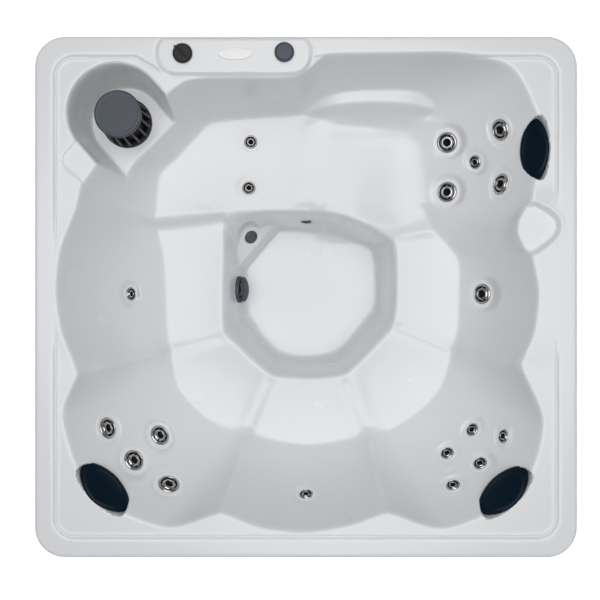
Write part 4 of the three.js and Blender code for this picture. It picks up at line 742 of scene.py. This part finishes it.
acrylic = finish("acrylic", (0.80, 0.81, 0.825), spread=0.004, rough=(0.26, 0.28), bump=0.02, cloud=4, grain=30,
                 coat=0.22, coat_rough=0.12)
shell = new_object("shell_sheet", bm, [acrylic])
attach(shell, "tub")
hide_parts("shell")
print("shell triangles", sum(len(p.vertices) - 2 for p in shell.data.polygons))

# %% Normals of the sheet
LOWEST_SMOOTH = 60
slope_x, slope_y = np.gradient(heights, STEP)
shell_normals = np.array([tuple(v.vector) for v in shell.data.vertex_normals])
px, py, pz = (np.array([tuple(v.co) for v in shell.data.vertices]) / MM).T
on_top = np.maximum(np.abs(px) - HALF_LENGTH, np.abs(py) - HALF_WIDTH) < -EDGE_ROUND - 2
on_top &= (pz > LOWEST_SMOOTH) & (np.abs(sample(heights, px, py) - pz) < 0.05)
plan_normals = np.column_stack([-sample(slope_x, px, py), -sample(slope_y, px, py), np.ones(len(px))])
plan_normals /= np.linalg.norm(plan_normals, axis=1)[:, None]
shell_normals[on_top] = plan_normals[on_top]
shell.data.normals_split_custom_set_from_vertices([tuple(n) for n in shell_normals])
print("normals set on", int(on_top.sum()), "points")

# %% [markdown]
# ## Underside of the shell
# The acrylic is backed with sprayed glass fibre. It follows the sheet at a distance, a little roughly, and is only
# seen when the door is off. It needs far fewer faces than the sheet.

# %% Underside
BACK_APART, BACK_THICK, BACK_GRID, BACK_INSET, BACK_TURNS = 15.0, 5.0, (130, 124), 34, 40
outer = heights
for axis in (0, 1):
    cells = range(-int(BACK_APART / STEP), int(BACK_APART / STEP) + 1)
    outer = np.minimum.reduce([np.roll(outer, cell, axis) for cell in cells])
outer = blur(outer, 4) - 4
bm = sheet_mesh(*relaxed_plan(*BACK_GRID, BACK_INSET, BACK_TURNS), outer)
face_up(bm)
bmesh.ops.solidify(bm, geom=bm.faces[:], thickness=BACK_THICK * MM)
bmesh.ops.recalc_face_normals(bm, faces=bm.faces)
glass_fibre = finish("glass_fibre", (0.42, 0.44, 0.43), spread=0.12, rough=(0.45, 0.7), bump=0.7, depth=0.002,
                     cloud=25, grain=150)
shell_back = new_object("shell_back", bm, [glass_fibre])
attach(shell_back, "tub")
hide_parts("shell")
print("underside faces", len(shell_back.data.polygons))

# %% [markdown]
# ## Tools for the fittings
# Turned parts are spun from a profile of radius and height, as they would be turned or moulded. Their profiles
# are in millimetres along the part's own axis, and a matrix puts each one in its place on the tub.


# %% Tools for turned parts
def place_at(point=(0, 0, 0), axis=(0, 0, 1), along=(1, 0, 0)):
    """A place whose local Z is the axis and whose local X is near another direction. Millimetres become metres."""
    z = Vector(axis).normalized()
    x = Vector(along) - Vector(along).dot(z) * z
    x = x.normalized() if x.length > 0.1 else z.orthogonal().normalized()
    place = Matrix((x, z.cross(x), z)).transposed().to_4x4()
    place.translation = Vector(point)
    return place @ Matrix.Scale(MM, 4)


def turned_by(share):
    """A share of a full turn round local Z."""
    return Matrix.Rotation(2 * math.pi * share, 4, "Z")


def soften(points, radius, closed=True):
    """Rounds the corners of a profile: each corner becomes a short curve."""
    made = []
    for k, corner in enumerate(points):
        if not closed and k in (0, len(points) - 1):
            made.append(corner)
            continue
        here, before, after = Vector(corner), Vector(points[k - 1]), Vector(points[(k + 1) % len(points)])
        start = here + (before - here).normalized() * min(radius, (before - here).length * 0.45)
        end = here + (after - here).normalized() * min(radius, (after - here).length * 0.45)
        for t in np.linspace(0, 1, 4):
            made.append(tuple(start.lerp(here, t).lerp(here.lerp(end, t), t)))
    return made


def spun(profile, steps=48, closed=True):
    """Spins a profile round local Z. A profile that isn't closed starts and ends on the axis."""
    part = bmesh.new()
    verts = [part.verts.new((max(r, 0.0), 0, z)) for r, z in profile]
    edges = [part.edges.new(pair) for pair in zip(verts, verts[1:] + (verts[:1] if closed else []))]
    bmesh.ops.spin(part, geom=verts + edges, cent=(0, 0, 0), axis=(0, 0, 1), angle=2 * math.pi, steps=steps,
                   use_merge=True)
    bmesh.ops.remove_doubles(part, verts=part.verts, dist=0.002)
    bmesh.ops.recalc_face_normals(part, faces=part.faces)
    return part


def ease_edges(part, sharper, radius, segments=3):
    """Rounds the edges of a part that are sharper than an angle."""
    hard = [edge for edge in part.edges if edge.calc_face_angle(0) > sharper]
    bmesh.ops.bevel(part, geom=hard, offset=radius, affect="EDGES", segments=segments, profile=0.5, material=-1)


def bevelled_box(low, high, radius, segments=3):
    """A box with rounded edges."""
    part = bmesh.new()
    bmesh.ops.create_cube(part, size=1)
    low, high = Vector(low), Vector(high)
    for vert in part.verts:
        vert.co = [low[k] + (high[k] - low[k]) * (vert.co[k] + 0.5) for k in range(3)]
    ease_edges(part, 1, radius, segments)
    return part


def put_new_points(made, height):
    """Puts the points that an extrusion made at a height."""
    for item in made["geom"]:
        if isinstance(item, bmesh.types.BMVert):
            item.co.z = height


def add_part(bm, part, place=place_at(), slot=0):
    """Puts a part in place, gives it a material slot and joins it to a piece."""
    part.transform(place)
    for face in part.faces:
        face.material_index = slot
    mesh = bpy.data.meshes.new("part")
    part.to_mesh(mesh)
    part.free()
    bm.from_mesh(mesh)
    bpy.data.meshes.remove(mesh)


def add_turned(bm, place, profile, radius=0, steps=48, slot=0):
    """Rounds a profile's corners, spins it and adds it. A profile that starts and ends on the axis is open."""
    closed = profile[0][0] > 0 or profile[-1][0] > 0
    add_part(bm, spun(soften(profile, radius, closed) if radius else profile, steps, closed), place, slot)


def plain_name(material):
    """A finish's name without the number that Blender adds where a name is taken."""
    return material.name.split(".")[0]


def piece(name, bm, body, node, materials, sharp=40):
    """A finished piece that rides a body and stands for its node."""
    thing = new_object(name, bm, materials)
    thing.data.set_sharp_from_angle(angle=math.radians(sharp))
    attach(thing, body)
    if node:
        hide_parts(node)
    print(name, len(thing.data.polygons), "faces")
    return thing


print("tools ready")

# %% [markdown]
# ## Finishes of the fittings
# Moulded plastics have a fine grain, metals a brushed or polished sheen, and boards a long grain along them.

# %% Finishes
slate = finish("slate_plastic", (0.056, 0.067, 0.086), spread=0.05, rough=(0.38, 0.5), bump=0.12, grain=900)
black = finish("black_plastic", (0.008, 0.0085, 0.0095), spread=0.1, rough=(0.38, 0.5), grain=900, specular=0.35)
white = finish("white_plastic", (0.91, 0.91, 0.915), spread=0.015, rough=(0.2, 0.3), bump=0.05, grain=500)
collar_white = finish("collar_white", (0.845, 0.85, 0.86), spread=0.01, rough=(0.2, 0.28), bump=0.05, grain=500)
steel = finish("polished_steel", (0.5, 0.5, 0.495), spread=0.05, rough=(0.08, 0.18), bump=0.02, grain=700,
               metallic=1.0)
dull_steel = finish("heater_steel", (0.5, 0.5, 0.5), spread=0.06, rough=(0.28, 0.4), bump=0.08, grain=500,
                    metallic=1.0)
# Near-black and dull: painted shade, put on the bores, grooves and hollows that lie in shadow.
painted_shade_black = finish("painted_shade_bore", (0.004, 0.004, 0.005), spread=0.1, rough=(0.5, 0.7), grain=900, specular=0.15)
lens_glass = finish("lamp_lens", (0.085, 0.095, 0.09), spread=0.15, rough=(0.22, 0.3), cloud=60, coat=0.1)
foam = finish("navy_foam", (0.0010, 0.0085, 0.0170), spread=0.12, rough=(0.30, 0.38), bump=0.2, depth=0.0005,
              grain=1100, specular=0.14)
pipe = finish("pipe_plastic", (0.72, 0.72, 0.70), grain=500)
paper = finish("filter_paper", (0.74, 0.75, 0.73), spread=0.05, rough=(0.85, 0.95), bump=0.4, grain=700,
               specular=0.2)
paint = finish("motor_paint", (0.045, 0.05, 0.055), spread=0.08, rough=(0.4, 0.55), bump=0.2, grain=600)
block_foam = finish("block_foam", (0.7, 0.66, 0.55), spread=0.06, rough=(0.85, 0.95), bump=0.6, depth=0.001,
                    grain=250, specular=0.2)
print("finishes ready")

# %% Finish of the boards
board, nodes, links, shader = new_material("cabinet_board")
BOARD_SHADES = [(0.3, (0.07, 0.066, 0.062)), (0.55, (0.115, 0.108, 0.10)), (0.75, (0.15, 0.142, 0.132))]
stretch = add_node(nodes, "Mapping", {"Scale": (60, 60, 3.2)})
grain = add_node(nodes, "TexNoise", {"Scale": 4, "Detail": 6, "Roughness": 0.6, "Distortion": 0.4})
links.new(add_node(nodes, "TexCoord").outputs["Object"], stretch.inputs["Vector"])
links.new(stretch.outputs["Vector"], grain.inputs["Vector"])
add_ramp(nodes, links, grain.outputs["Fac"], shader.inputs["Base Color"], BOARD_SHADES)
add_bump(nodes, links, grain.outputs["Fac"], shader.inputs["Normal"], 0.35, 0.0008)
set_inputs(shader, {"Roughness": 0.55})
print("board grain ready")

# %% [markdown]
# ## Jets
# Each jet has a turned steel face ring, an eyeball nozzle that is tilted a little and a bore. The bore and the groove
# between ring and nozzle carry painted shade in near-black. The jet turns with its insert. The white ring round it
# belongs to the wall fitting and stays with the tub.

# %% Jets
NOZZLE_TILT = Matrix.Rotation(math.radians(9), 4, "X")
collars = bmesh.new()
for name, joint in jets.items():
    b = jet_size(name)[0]
    place = place_at(joint["pos_m"], joint["axis"], along=(0, 1, 0))
    bm = bmesh.new()
    add_turned(bm, place, [
        (0.78 * b, -2.6), (b, -2.6), (b, 0.4), (0.96 * b, 2.4), (0.88 * b, 4.2), (0.82 * b, 3.4), (0.78 * b, 0)],
        1.4, 56)
    # The cup behind the nozzle is near-black: painted shade in the groove between ring and nozzle.
    add_turned(bm, place, [
        (0, -14), (0.79 * b, -14), (0.79 * b, -2), (0.64 * b, -4), (0.60 * b, -11), (0, -11)], 0, 40, 1)
    add_turned(bm, place @ NOZZLE_TILT, [
        (0.37 * b, -8), (0.38 * b, 2.4), (0.43 * b, 3.9), (0.52 * b, 3.2), (0.60 * b, 0.8), (0.65 * b, -2.4),
        (0.60 * b, -8)], 1.6)
    # The throat is near-black: painted shade in the bore.
    add_turned(bm, place @ NOZZLE_TILT, [
        (0, -9), (0.368 * b, -9), (0.376 * b, 1.6), (0.30 * b, -1.5), (0.16 * b, -6), (0, -7)], 0, 40, 1)
    piece(name + "_face", bm, name, name, [steel, painted_shade_black])
    add_turned(collars, place_at(joint["pos_m"], joint["axis"]), [
        (1.03 * b, -5), (1.03 * b, 0.4), (1.08 * b, 0.9), (1.30 * b, 0.7), (1.36 * b, 1.9), (1.44 * b, 1.9),
        (1.50 * b, 0.6), (1.52 * b, -5)], 1.2, 56)
piece("jet_collars", collars, "tub", None, [collar_white])

# %% [markdown]
# ## Footwell fittings
# The suction guard is a domed grille, so that nothing can be drawn against a flat plate. The lamp sits in a ringed
# boss, and a short dark outlet returns water under the lounger.

# %% Suction guard
GUARD_RADIUS, GUARD_RISE, INNER_DROP, RIB_REACH, RIB_APART, RIB_HALF = 60.0, 42.0, 7, 56, 12.0, 3.3
guard_place = place_at(guard_point, guard_axis, along=(0, 0, 1))


def dome(radius, rise):
    return rise * (0.34 + 0.66 * math.sqrt(max(0.0, 1 - (radius / GUARD_RADIUS) ** 2)))


bm = bmesh.new()
add_turned(bm, guard_place, [(50, -2.7), (60, -2.7), (60, 8), (57, 14.5), (52, 16.5), (49, 12)], 2.5, 64)
# The dome under the ribs is near-black: painted shade seen through the grille.
inner = [(r, dome(r, GUARD_RISE - INNER_DROP)) for r in (48, 40, 30, 20, 10, 0)]
add_turned(bm, guard_place, [(0, -2.7), (50, -2.7), (50, 8)] + inner, slot=1)
for i in range(-4, 5):
    reach = math.sqrt(RIB_REACH ** 2 - (i * RIB_APART) ** 2)
    rib = bmesh.new()
    bmesh.ops.create_grid(rib, x_segments=2, y_segments=22, size=1)
    for vert in rib.verts:
        x, y = i * RIB_APART + vert.co.x * RIB_HALF, vert.co.y * reach
        vert.co = (x, y, dome(math.hypot(x, y), GUARD_RISE))
    bmesh.ops.solidify(rib, geom=rib.faces[:], thickness=5)
    bmesh.ops.recalc_face_normals(rib, faces=rib.faces)
    ease_edges(rib, 1.2, 0.9, 2)
    add_part(bm, rib, guard_place)
add_part(bm, bevelled_box((-46, -4, 26), (46, 4, 30), 1.2), guard_place)
piece("suction_guard_dome", bm, "tub", "suction_guard", [slate, painted_shade_black])

# %% Lamp and its boss
lamp_place = place_at(lamp_point, lamp_axis)
bm = bmesh.new()
add_turned(bm, lamp_place, [(0, -4), (24, -4), (24, 1.5), (21, 3.4), (14, 4.8), (7, 5.6), (0, 5.9)])
add_turned(bm, lamp_place, [(23.5, -4), (30, -4), (30, 2.2), (28, 3.4), (25, 3.4), (23.5, 2)], 1.2, slot=1)
piece("lamp", bm, "tub", "light_lens", [lens_glass, slate])
bm = bmesh.new()
add_turned(bm, lamp_place, [
    (30.6, -6), (30.6, 1.6), (34, 2.4), (37, 0.8), (44, 0.8), (47, 2.2), (50, 2.2), (52, 0.6), (53, -6)], 1.2, 64)
piece("lamp_boss", bm, "tub", None, [acrylic])
bm = bmesh.new()
add_turned(bm, lamp_place, [
    (0, -46), (22, -46), (24, -43), (24, -20), (29.8, -18), (29.8, -4.5), (0, -4.5)], 1.5)
piece("lamp_can", bm, "tub", "light_housing", [white])

# %% Outlet
outlet_place = place_at(outlet_point, outlet_axis)
bm = bmesh.new()
add_turned(bm, outlet_place, [
    (10, -8), (17, -8), (17, -2.7), (24, -2.7), (24, 0.6), (21.5, 2.8), (13, 3.4), (10, 1.5)], 1.0)
# The disc in the outlet's mouth is near-black: painted shade in the hole.
add_turned(bm, outlet_place, [(0, -2.6), (9.7, -2.6), (9.7, 0.8), (0, 0.4)], 0, 32, 1)
piece("outlet", bm, "tub", "return_fitting", [slate, painted_shade_black])

# %% [markdown]
# ## Filter group
# A weir basket stands over the canister. Water is drawn through its slots, floating dirt stays in it, and a round
# lid closes the top. Under it the pleated cartridge sits in the canister.

# %% Filter lid and basket
BASKET_LOW, BASKET_HIGH, LID, VANES, VANE_LEAN = 636.6, 801.6, 801.9, 16, 11.5
filter_place = place_at((FILTER_X * MM, FILTER_Y * MM, 0))
bm = bmesh.new()
add_turned(bm, filter_place, [
    (0, LID), (73, LID), (74, LID - 14), (78, LID - 14), (78, LID), (89, LID), (89, LID + 9), (86, LID + 13),
    (80, LID + 14.2), (75, LID + 13.2), (0, LID + 14.6)], 2.2, 72)
piece("filter_lid_cover", bm, "filter_lid", "filter_lid", [slate])

bm = bmesh.new()
# The inner sleeve is near-black: painted shade inside the basket.
add_turned(bm, filter_place, [
    (70, BASKET_LOW + 1), (74, BASKET_LOW + 1), (74, BASKET_HIGH - 1), (70, BASKET_HIGH - 1)], 0, 56, 1)
add_turned(bm, filter_place, [
    (78, BASKET_LOW), (98, BASKET_LOW), (98, BASKET_LOW + 15), (95, BASKET_LOW + 19), (78, BASKET_LOW + 19)], 2, 64)
add_turned(bm, filter_place, [
    (73, BASKET_HIGH - 15), (87.2, BASKET_HIGH - 15), (86.4, BASKET_HIGH), (73, BASKET_HIGH)], 2, 64)
for i in range(VANES):
    vane = bevelled_box((73, -5.0, BASKET_LOW + 10), (97, 5.0, BASKET_HIGH - 8), 1.4)
    for vert in vane.verts:
        if vert.co.x > 85:
            vert.co.x -= VANE_LEAN * (vert.co.z - BASKET_LOW) / (BASKET_HIGH - BASKET_LOW)
    add_part(bm, vane, filter_place @ turned_by((i + 0.5) / VANES))
piece("skimmer_basket_body", bm, "skimmer_basket", "skimmer_basket", [black, painted_shade_black])

# %% Canister and cartridge
CAN_LOW, CAN_TOP, PLEATS, PLEAT_IN = 291.7, 621.7, 72, 0.86
bm = bmesh.new()
add_turned(bm, filter_place, [
    (0, CAN_LOW), (92, CAN_LOW), (92, CAN_TOP), (79.7, CAN_TOP), (79.7, 632.3), (98, 632.3), (98, 636.3),
    (75.7, 636.3), (75.7, CAN_LOW + 4), (0, CAN_LOW + 4)], 3, 64)
piece("filter_canister", bm, "tub", "filter_housing", [pipe])

bm = bmesh.new()
paper_tube = bmesh.new()
bmesh.ops.create_circle(paper_tube, cap_ends=False, segments=PLEATS * 2, radius=62)
for k, vert in enumerate(paper_tube.verts):
    vert.co *= 1.0 if k % 2 else PLEAT_IN
put_new_points(bmesh.ops.extrude_edge_only(paper_tube, edges=paper_tube.edges[:]), 228)
bmesh.ops.recalc_face_normals(paper_tube, faces=paper_tube.faces)
paper_tube.transform(Matrix.Translation((0, 0, CAN_LOW + 15)))
add_part(bm, paper_tube, filter_place)
for low in (CAN_LOW + 4.3, CAN_LOW + 242.3):
    add_turned(bm, filter_place, [(27, low), (64, low), (64, low + 12), (27, low + 12)], 3, 56, 1)
add_turned(bm, filter_place, [
    (27, CAN_LOW + 8), (30, CAN_LOW + 8), (30, CAN_LOW + 250), (27, CAN_LOW + 250)], 0, 40, 1)
piece("filter_cartridge_pleats", bm, "filter_cartridge", "filter_cartridge", [paper, white], sharp=20)

# %% [markdown]
# ## Controls
# The knob turns the diverter valve, the bare oval plate stands in the middle, and the air button presses in.

# %% Controls
PANEL_TOP, KNOB_RIBS, POINTER_TURN, PLATE_FLAT = 0.866, 24, 0.385, 23 / 63
knob_place = place_at((-0.455, 0.898, PANEL_TOP))
bm = bmesh.new()
add_turned(bm, knob_place, [
    (0, 11.5), (14.8, 11.5), (15, 0.3), (36, 0.3), (36.2, 4), (34.6, 13), (32.5, 16), (29, 17), (0, 16.4)], 1.6, 72)
for i in range(KNOB_RIBS):
    add_part(bm, bevelled_box((33.2, -1.3, 2.5), (36.6, 1.3, 13), 0.6, 2), knob_place @ turned_by(i / KNOB_RIBS))
grip = bevelled_box((-29, -6.8, 8), (40.3, 6.8, 22.1), 2.4, 4)
for vert in grip.verts:
    if vert.co.x > 33:
        vert.co.y *= 0.45
        vert.co.z -= 3
    vert.co.y *= 1 - 0.35 * (vert.co.z - 8) / 14
add_part(bm, grip, knob_place @ turned_by(POINTER_TURN))
piece("knob", bm, "control_knob", "control_knob", [black])

bm = bmesh.new()
plate = spun(soften([(0, 0.3), (63, 0.3), (63, 2.2), (60.5, 3.1), (0, 3.3)], 0.8, closed=False), 72, closed=False)
plate.transform(Matrix.Diagonal((1, PLATE_FLAT, 1, 1)))
add_part(bm, plate, place_at((-0.262, 0.898, PANEL_TOP)))
piece("oval_badge", bm, "tub", "badge_plate", [white])

button_place = place_at((-0.080, 0.902, PANEL_TOP))
bm = bmesh.new()
add_turned(bm, button_place, [
    (31.3, 3.5), (21.7, 3.5), (21.7, 0.3), (36, 0.3), (36, 10), (34, 12.2), (31.3, 12.2)], 1.3, 64)
piece("button_bezel", bm, "tub", "button_housing", [slate])
bm = bmesh.new()
add_turned(bm, button_place, [(0, 7.7), (30.8, 7.7), (30.8, 12.4), (28.6, 14.1), (0, 13.6)], 1.2, 64)
piece("button_cap", bm, "push_button", "push_button", [slate])

# %% [markdown]
# ## Pillows
# Each pillow is a pointed oval of dense foam with a skin. Its sides pull in over the seat, its edge is bevelled and
# its face is a little hollow. Its outer side stands upright against the deck's edge. A sphere is shaped ring by
# ring into that profile.

# %% Pillows
PILLOW_LENGTH, PILLOW_THICKNESS, PILLOW_GAP, PILLOW_LEAN, PILLOW_LUMP = 121.0, 41.0, 0.3, 0.8, 0.006
PILLOW_PROFILE = [
    (0.0, 0.0), (0.5, 0.0), (0.82, 0.01), (0.90, 0.03), (0.955, 0.12), (0.962, 0.25), (0.975, 0.38), (1.0, 0.52),
    (0.995, 0.62), (0.965, 0.74), (0.91, 0.85), (0.85, 0.925), (0.79, 0.975), (0.745, 0.99), (0.70, 0.97),
    (0.6, 0.93), (0.35, 0.88), (0.15, 0.86), (0.0, 0.855),
]
profile = np.array(PILLOW_PROFILE)
lengths = np.concatenate([[0], np.cumsum(np.hypot(*np.diff(profile * [1, 0.45], axis=0).T))])
lengths /= lengths[-1]
for name, seat in PILLOW_SEATS.items():
    normal = Vector(joint_of[name]["axis"])
    inward = Vector((normal.x, normal.y, 0)).normalized()
    part = bmesh.new()
    bmesh.ops.create_uvsphere(part, u_segments=96, v_segments=64, radius=1)
    for vert in part.verts:
        turn = math.atan2(vert.co.y, vert.co.x)
        share = math.acos(max(-1, min(1, -vert.co.z))) / math.pi
        size, rise = (float(np.interp(share, lengths, profile[:, k])) for k in (0, 1))
        c, s = math.cos(turn), math.sin(turn)
        lump = 1 + PILLOW_LUMP * math.sin(3 * turn + 1.1) * math.sin(math.pi * share)
        high = PILLOW_GAP + (PILLOW_THICKNESS - PILLOW_GAP) * rise
        half = s * abs(s) ** 0.15 * size * lump
        wide = half * (PILLOW_IN if s > 0 else PILLOW_OUT[name] + PILLOW_LEAN * high)
        vert.co = (PILLOW_LENGTH * size * c * abs(c) ** 0.1 * lump, wide, high)
    bmesh.ops.smooth_vert(part, verts=part.verts, factor=0.5, use_axis_x=True, use_axis_y=True, use_axis_z=True)
    bm = bmesh.new()
    add_part(bm, part, place_at(Vector(seat) * MM, normal, inward.cross(Vector((0, 0, 1)))))
    cushion = piece(name + "_cushion", bm, name, name, [foam], sharp=80)

# %% [markdown]
# ## Cabinet
# The cabinet isn't in the photograph. Its boards are upright planks with eased edges on each side, round posts
# stand at the corners, and a moulded pan closes the bottom. The front boards come off as one door.

# %% Cabinet boards
FACE_X, FACE_Y, BOARD_THICK, PLANK_GAP, PLANKS = 980.0, 940.0, 12.0, 1.2, 8
BOARD_LOW, BOARD_TOP, DOOR_TOP, FRONT_HALF, SIDE_HALF = 25.3, 841.7, 782.0, 892.7, 852.7


def planks(name, body, node, half_span, low, high, turns, face):
    """Upright planks on a thin backing that faces -Y, turned in quarter turns to their side."""
    bm = bmesh.new()
    turned = place_at() @ turned_by(turns / 4)
    wide = 2 * half_span / PLANKS
    for i in range(PLANKS):
        left = -half_span + i * wide
        add_part(bm, bevelled_box((left + PLANK_GAP, -face, low),
                                  (left + wide - PLANK_GAP, -face + BOARD_THICK - 3, high), 2.4), turned)
    add_part(bm, bevelled_box((-half_span, -face + BOARD_THICK - 4, low),
                              (half_span, -face + BOARD_THICK, high), 0.8, 2), turned)
    piece(name, bm, body, node, [board])


planks("door_planks", "access_door", "access_door", FRONT_HALF, BOARD_LOW, DOOR_TOP, 0, FACE_Y)
planks("header_planks", "tub", "front_header", FRONT_HALF, DOOR_TOP + 1, BOARD_TOP, 0, FACE_Y)
planks("right_planks", "tub", "side_panel_right", SIDE_HALF, BOARD_LOW, BOARD_TOP, 1, FACE_X)
planks("back_planks", "tub", "back_panel", FRONT_HALF, BOARD_LOW, BOARD_TOP, 2, FACE_Y)
planks("left_planks", "tub", "side_panel_left", SIDE_HALF, BOARD_LOW, BOARD_TOP, 3, FACE_X)

# %% Corner posts and base pan
POST_RADIUS = 87.0
for name, sx, sy in (("front_left", -1, -1), ("front_right", 1, -1), ("back_right", 1, 1), ("back_left", -1, 1)):
    post = bmesh.new()
    start, corner = post.verts.new((0, 0, BOARD_LOW)), post.verts.new((POST_RADIUS, 0, BOARD_LOW))
    edge = post.edges.new((start, corner))
    bmesh.ops.spin(post, geom=[start, corner, edge], cent=(0, 0, 0), axis=(0, 0, 1), angle=math.pi / 2, steps=14)
    bmesh.ops.remove_doubles(post, verts=post.verts, dist=0.001)
    put_new_points(bmesh.ops.extrude_face_region(post, geom=post.faces[:]), BOARD_TOP)
    bmesh.ops.recalc_face_normals(post, faces=post.faces)
    ease_edges(post, 0.8, 2.0)
    spot = ((FACE_X - POST_RADIUS) * sx * MM, (FACE_Y - POST_RADIUS) * sy * MM, 0)
    bm = bmesh.new()
    add_part(bm, post, place_at(spot) @ Matrix.Rotation(math.atan2(sy, sx) - math.pi / 4, 4, "Z"))
    piece("post_" + name, bm, "tub", "corner_post_" + name, [board])

# The pan is a rounded plate with a raised edge round its floor
PAN_HALF_X, PAN_HALF_Y, PAN_CORNER, PAN_TOP, PAN_EDGE, PAN_FLOOR = 986, 946, 93, 25, 51, 12
pan = bmesh.new()
bmesh.ops.create_grid(pan, x_segments=1, y_segments=1, size=1)
for vert in pan.verts:
    vert.co = (vert.co.x * PAN_HALF_X, vert.co.y * PAN_HALF_Y, 0)
bmesh.ops.bevel(pan, geom=pan.verts[:], offset=PAN_CORNER, affect="VERTICES", segments=12, profile=0.5, material=-1)
put_new_points(bmesh.ops.extrude_face_region(pan, geom=pan.faces[:]), PAN_TOP)
bmesh.ops.recalc_face_normals(pan, faces=pan.faces)
top = max(pan.faces, key=lambda face: face.calc_center_median().z)
bmesh.ops.inset_region(pan, faces=[top], thickness=PAN_EDGE)
flats = [face for face in pan.faces if abs(face.normal.z) > 0.9 and len(face.verts) > 8]
inner = max(flats, key=lambda face: face.calc_center_median().z)
put_new_points(bmesh.ops.extrude_face_region(pan, geom=[inner]), PAN_FLOOR)
bmesh.ops.delete(pan, geom=[inner], context="FACES_ONLY")
bmesh.ops.recalc_face_normals(pan, faces=pan.faces)
ease_edges(pan, 0.9, 2.5)
bm = bmesh.new()
add_part(bm, pan)
piece("base_tray", bm, "tub", "base_pan", [black])

# %% [markdown]
# ## Under the shell
# None of this shows in the photograph: the pump that drives the jets, the heater, the control box, the block under
# the footwell, the cable inlet and the drain. They are seen when the door is off.

# %% Pump
PUMP, LUGS, FINS = Vector((-0.150, -0.640, 0.118)), 12, 28
pump_place = place_at(PUMP, (1, 0, 0))
bm = bmesh.new()
add_turned(bm, pump_place, [
    (16, 0), (74, 0), (84, 4), (90, 14), (90, 80), (88, 90), (9.3, 90), (9.3, 84), (84, 84), (84, 6), (16, 6)], 3, 64)
for i in range(LUGS):
    lug = bevelled_box((86, -5, 62), (95, 5, 88), 1.5)
    for vert in lug.verts:
        vert.co.x = min(vert.co.x, 90)
    add_part(bm, lug, pump_place @ turned_by(i / LUGS))
add_part(bm, bevelled_box((-144, -703, 12.3), (-66, -577, 60), 4))
socket_place = place_at(PUMP + Vector((0.045, 0, 0)))
add_turned(bm, socket_place, [(12.8, 84), (20, 84), (20, 106), (12.8, 106)], 1.5, 40)
piece("pump_housing", bm, "tub", "pump_wet_end", [black])

bm = bmesh.new()
add_turned(bm, pump_place, [
    (9.3, 90.3), (60, 90.3), (64, 96), (64, 326), (58, 336), (40, 340.3), (0, 340.3), (0, 160), (9.3, 160)], 3, 64)
for i in range(FINS):
    add_part(bm, bevelled_box((62, -1.4, 104), (70, 1.4, 312), 0.6, 2), pump_place @ turned_by(i / FINS))
add_part(bm, bevelled_box((2, -689, 12.3), (152, -591, 62), 4))
piece("pump_motor_body", bm, "tub", "pump_motor", [paint])

# %% Heater, control box and block
bm = bmesh.new()
heater_place = place_at((-0.020, -0.640, 0.300), (1, 0, 0))
add_turned(bm, heater_place, [
    (0, 0), (22, 0), (30, 5), (34, 14), (34, 266), (30, 275), (22, 280), (0, 280)], 3, 56)
for at in (20, 250):
    add_turned(bm, heater_place, [(33, at), (35.4, at), (35.4, at + 12), (33, at + 12)], 1, 56)
add_turned(bm, place_at((-0.105, -0.640, 0)), [(0, 224.3), (16, 224.3), (16, 316), (0, 316)], 4, 40)
add_turned(bm, place_at((-0.108, -0.640, 0.300), (1, 0, 0)), [(0, 0), (16, 0), (16, 90), (0, 90)], 4, 40)
piece("heater_tube", bm, "tub", "heater", [dull_steel])

bm = bmesh.new()
add_part(bm, bevelled_box((450, -680, 12.3), (710, -570, 202.3), 7, 4))
add_part(bm, bevelled_box((462, -683, 26), (698, -676, 190), 3, 3))
for x in (474, 686):
    for z in (38, 178):
        screw_place = place_at((x * MM, -0.683, z * MM), (0, -1, 0))
        add_turned(bm, screw_place, [(0, 0), (5, 0), (5, 2), (0, 3)], 0.8, 24, 1)
piece("control_case", bm, "tub", "control_box", [paint, dull_steel])
bm = bmesh.new()
add_part(bm, bevelled_box((-190, -190, 12.3), (190, 190, 79.7), 8, 4))
piece("footwell_foam", bm, "tub", "footwell_block", [block_foam])

# %% Cable inlet and drain
bm = bmesh.new()
add_turned(bm, place_at((0.980, -0.700, 0.095), (1, 0, 0)), [
    (7, -36), (14, -36), (14, 0.3), (21, 0.3), (21, 7), (18, 9), (12, 12), (7, 12)], 1.2)
piece("cable_gland", bm, "tub", "power_gland", [black])
drain_place = place_at((-0.980, -0.700, 0.095), (-1, 0, 0))
bm = bmesh.new()
add_turned(bm, drain_place, [(0, -40), (18, -40), (18, 4.6), (12.7, 4.6), (12.7, -24), (0, -24)], 1.2)
piece("drain_pipe", bm, "tub", "drain_spout", [pipe])
bm = bmesh.new()
add_turned(bm, drain_place, [(0, -12), (12.2, -12), (12.2, 5.1), (18, 5.1), (18, 14), (16, 15.6), (0, 15.6)], 1.2)
for i in range(12):
    add_part(bm, bevelled_box((16.6, -1.1, 6), (18, 1.1, 14), 0.4, 2), drain_place @ turned_by(i / 12))
piece("drain_plug", bm, "drain_cap", "drain_cap", [slate])

# %% Finishes of the nodes that stay
own_slots = (acrylic, slate, black, foam, white, steel, dull_steel, pipe, board, paper, paint, block_foam)
slot_finish = {plain_name(material): material for material in own_slots}
slot_finish["clear_lens"] = lens_glass
slot_of = {part["node"]: part["material_slot"] for part in frame["record"]["subparts"]}
for name, node in frame["nodes"].items():
    node.data.materials.clear()
    node.data.materials.append(slot_finish[slot_of[name]])
print("finishes given to", len(slot_of), "nodes")
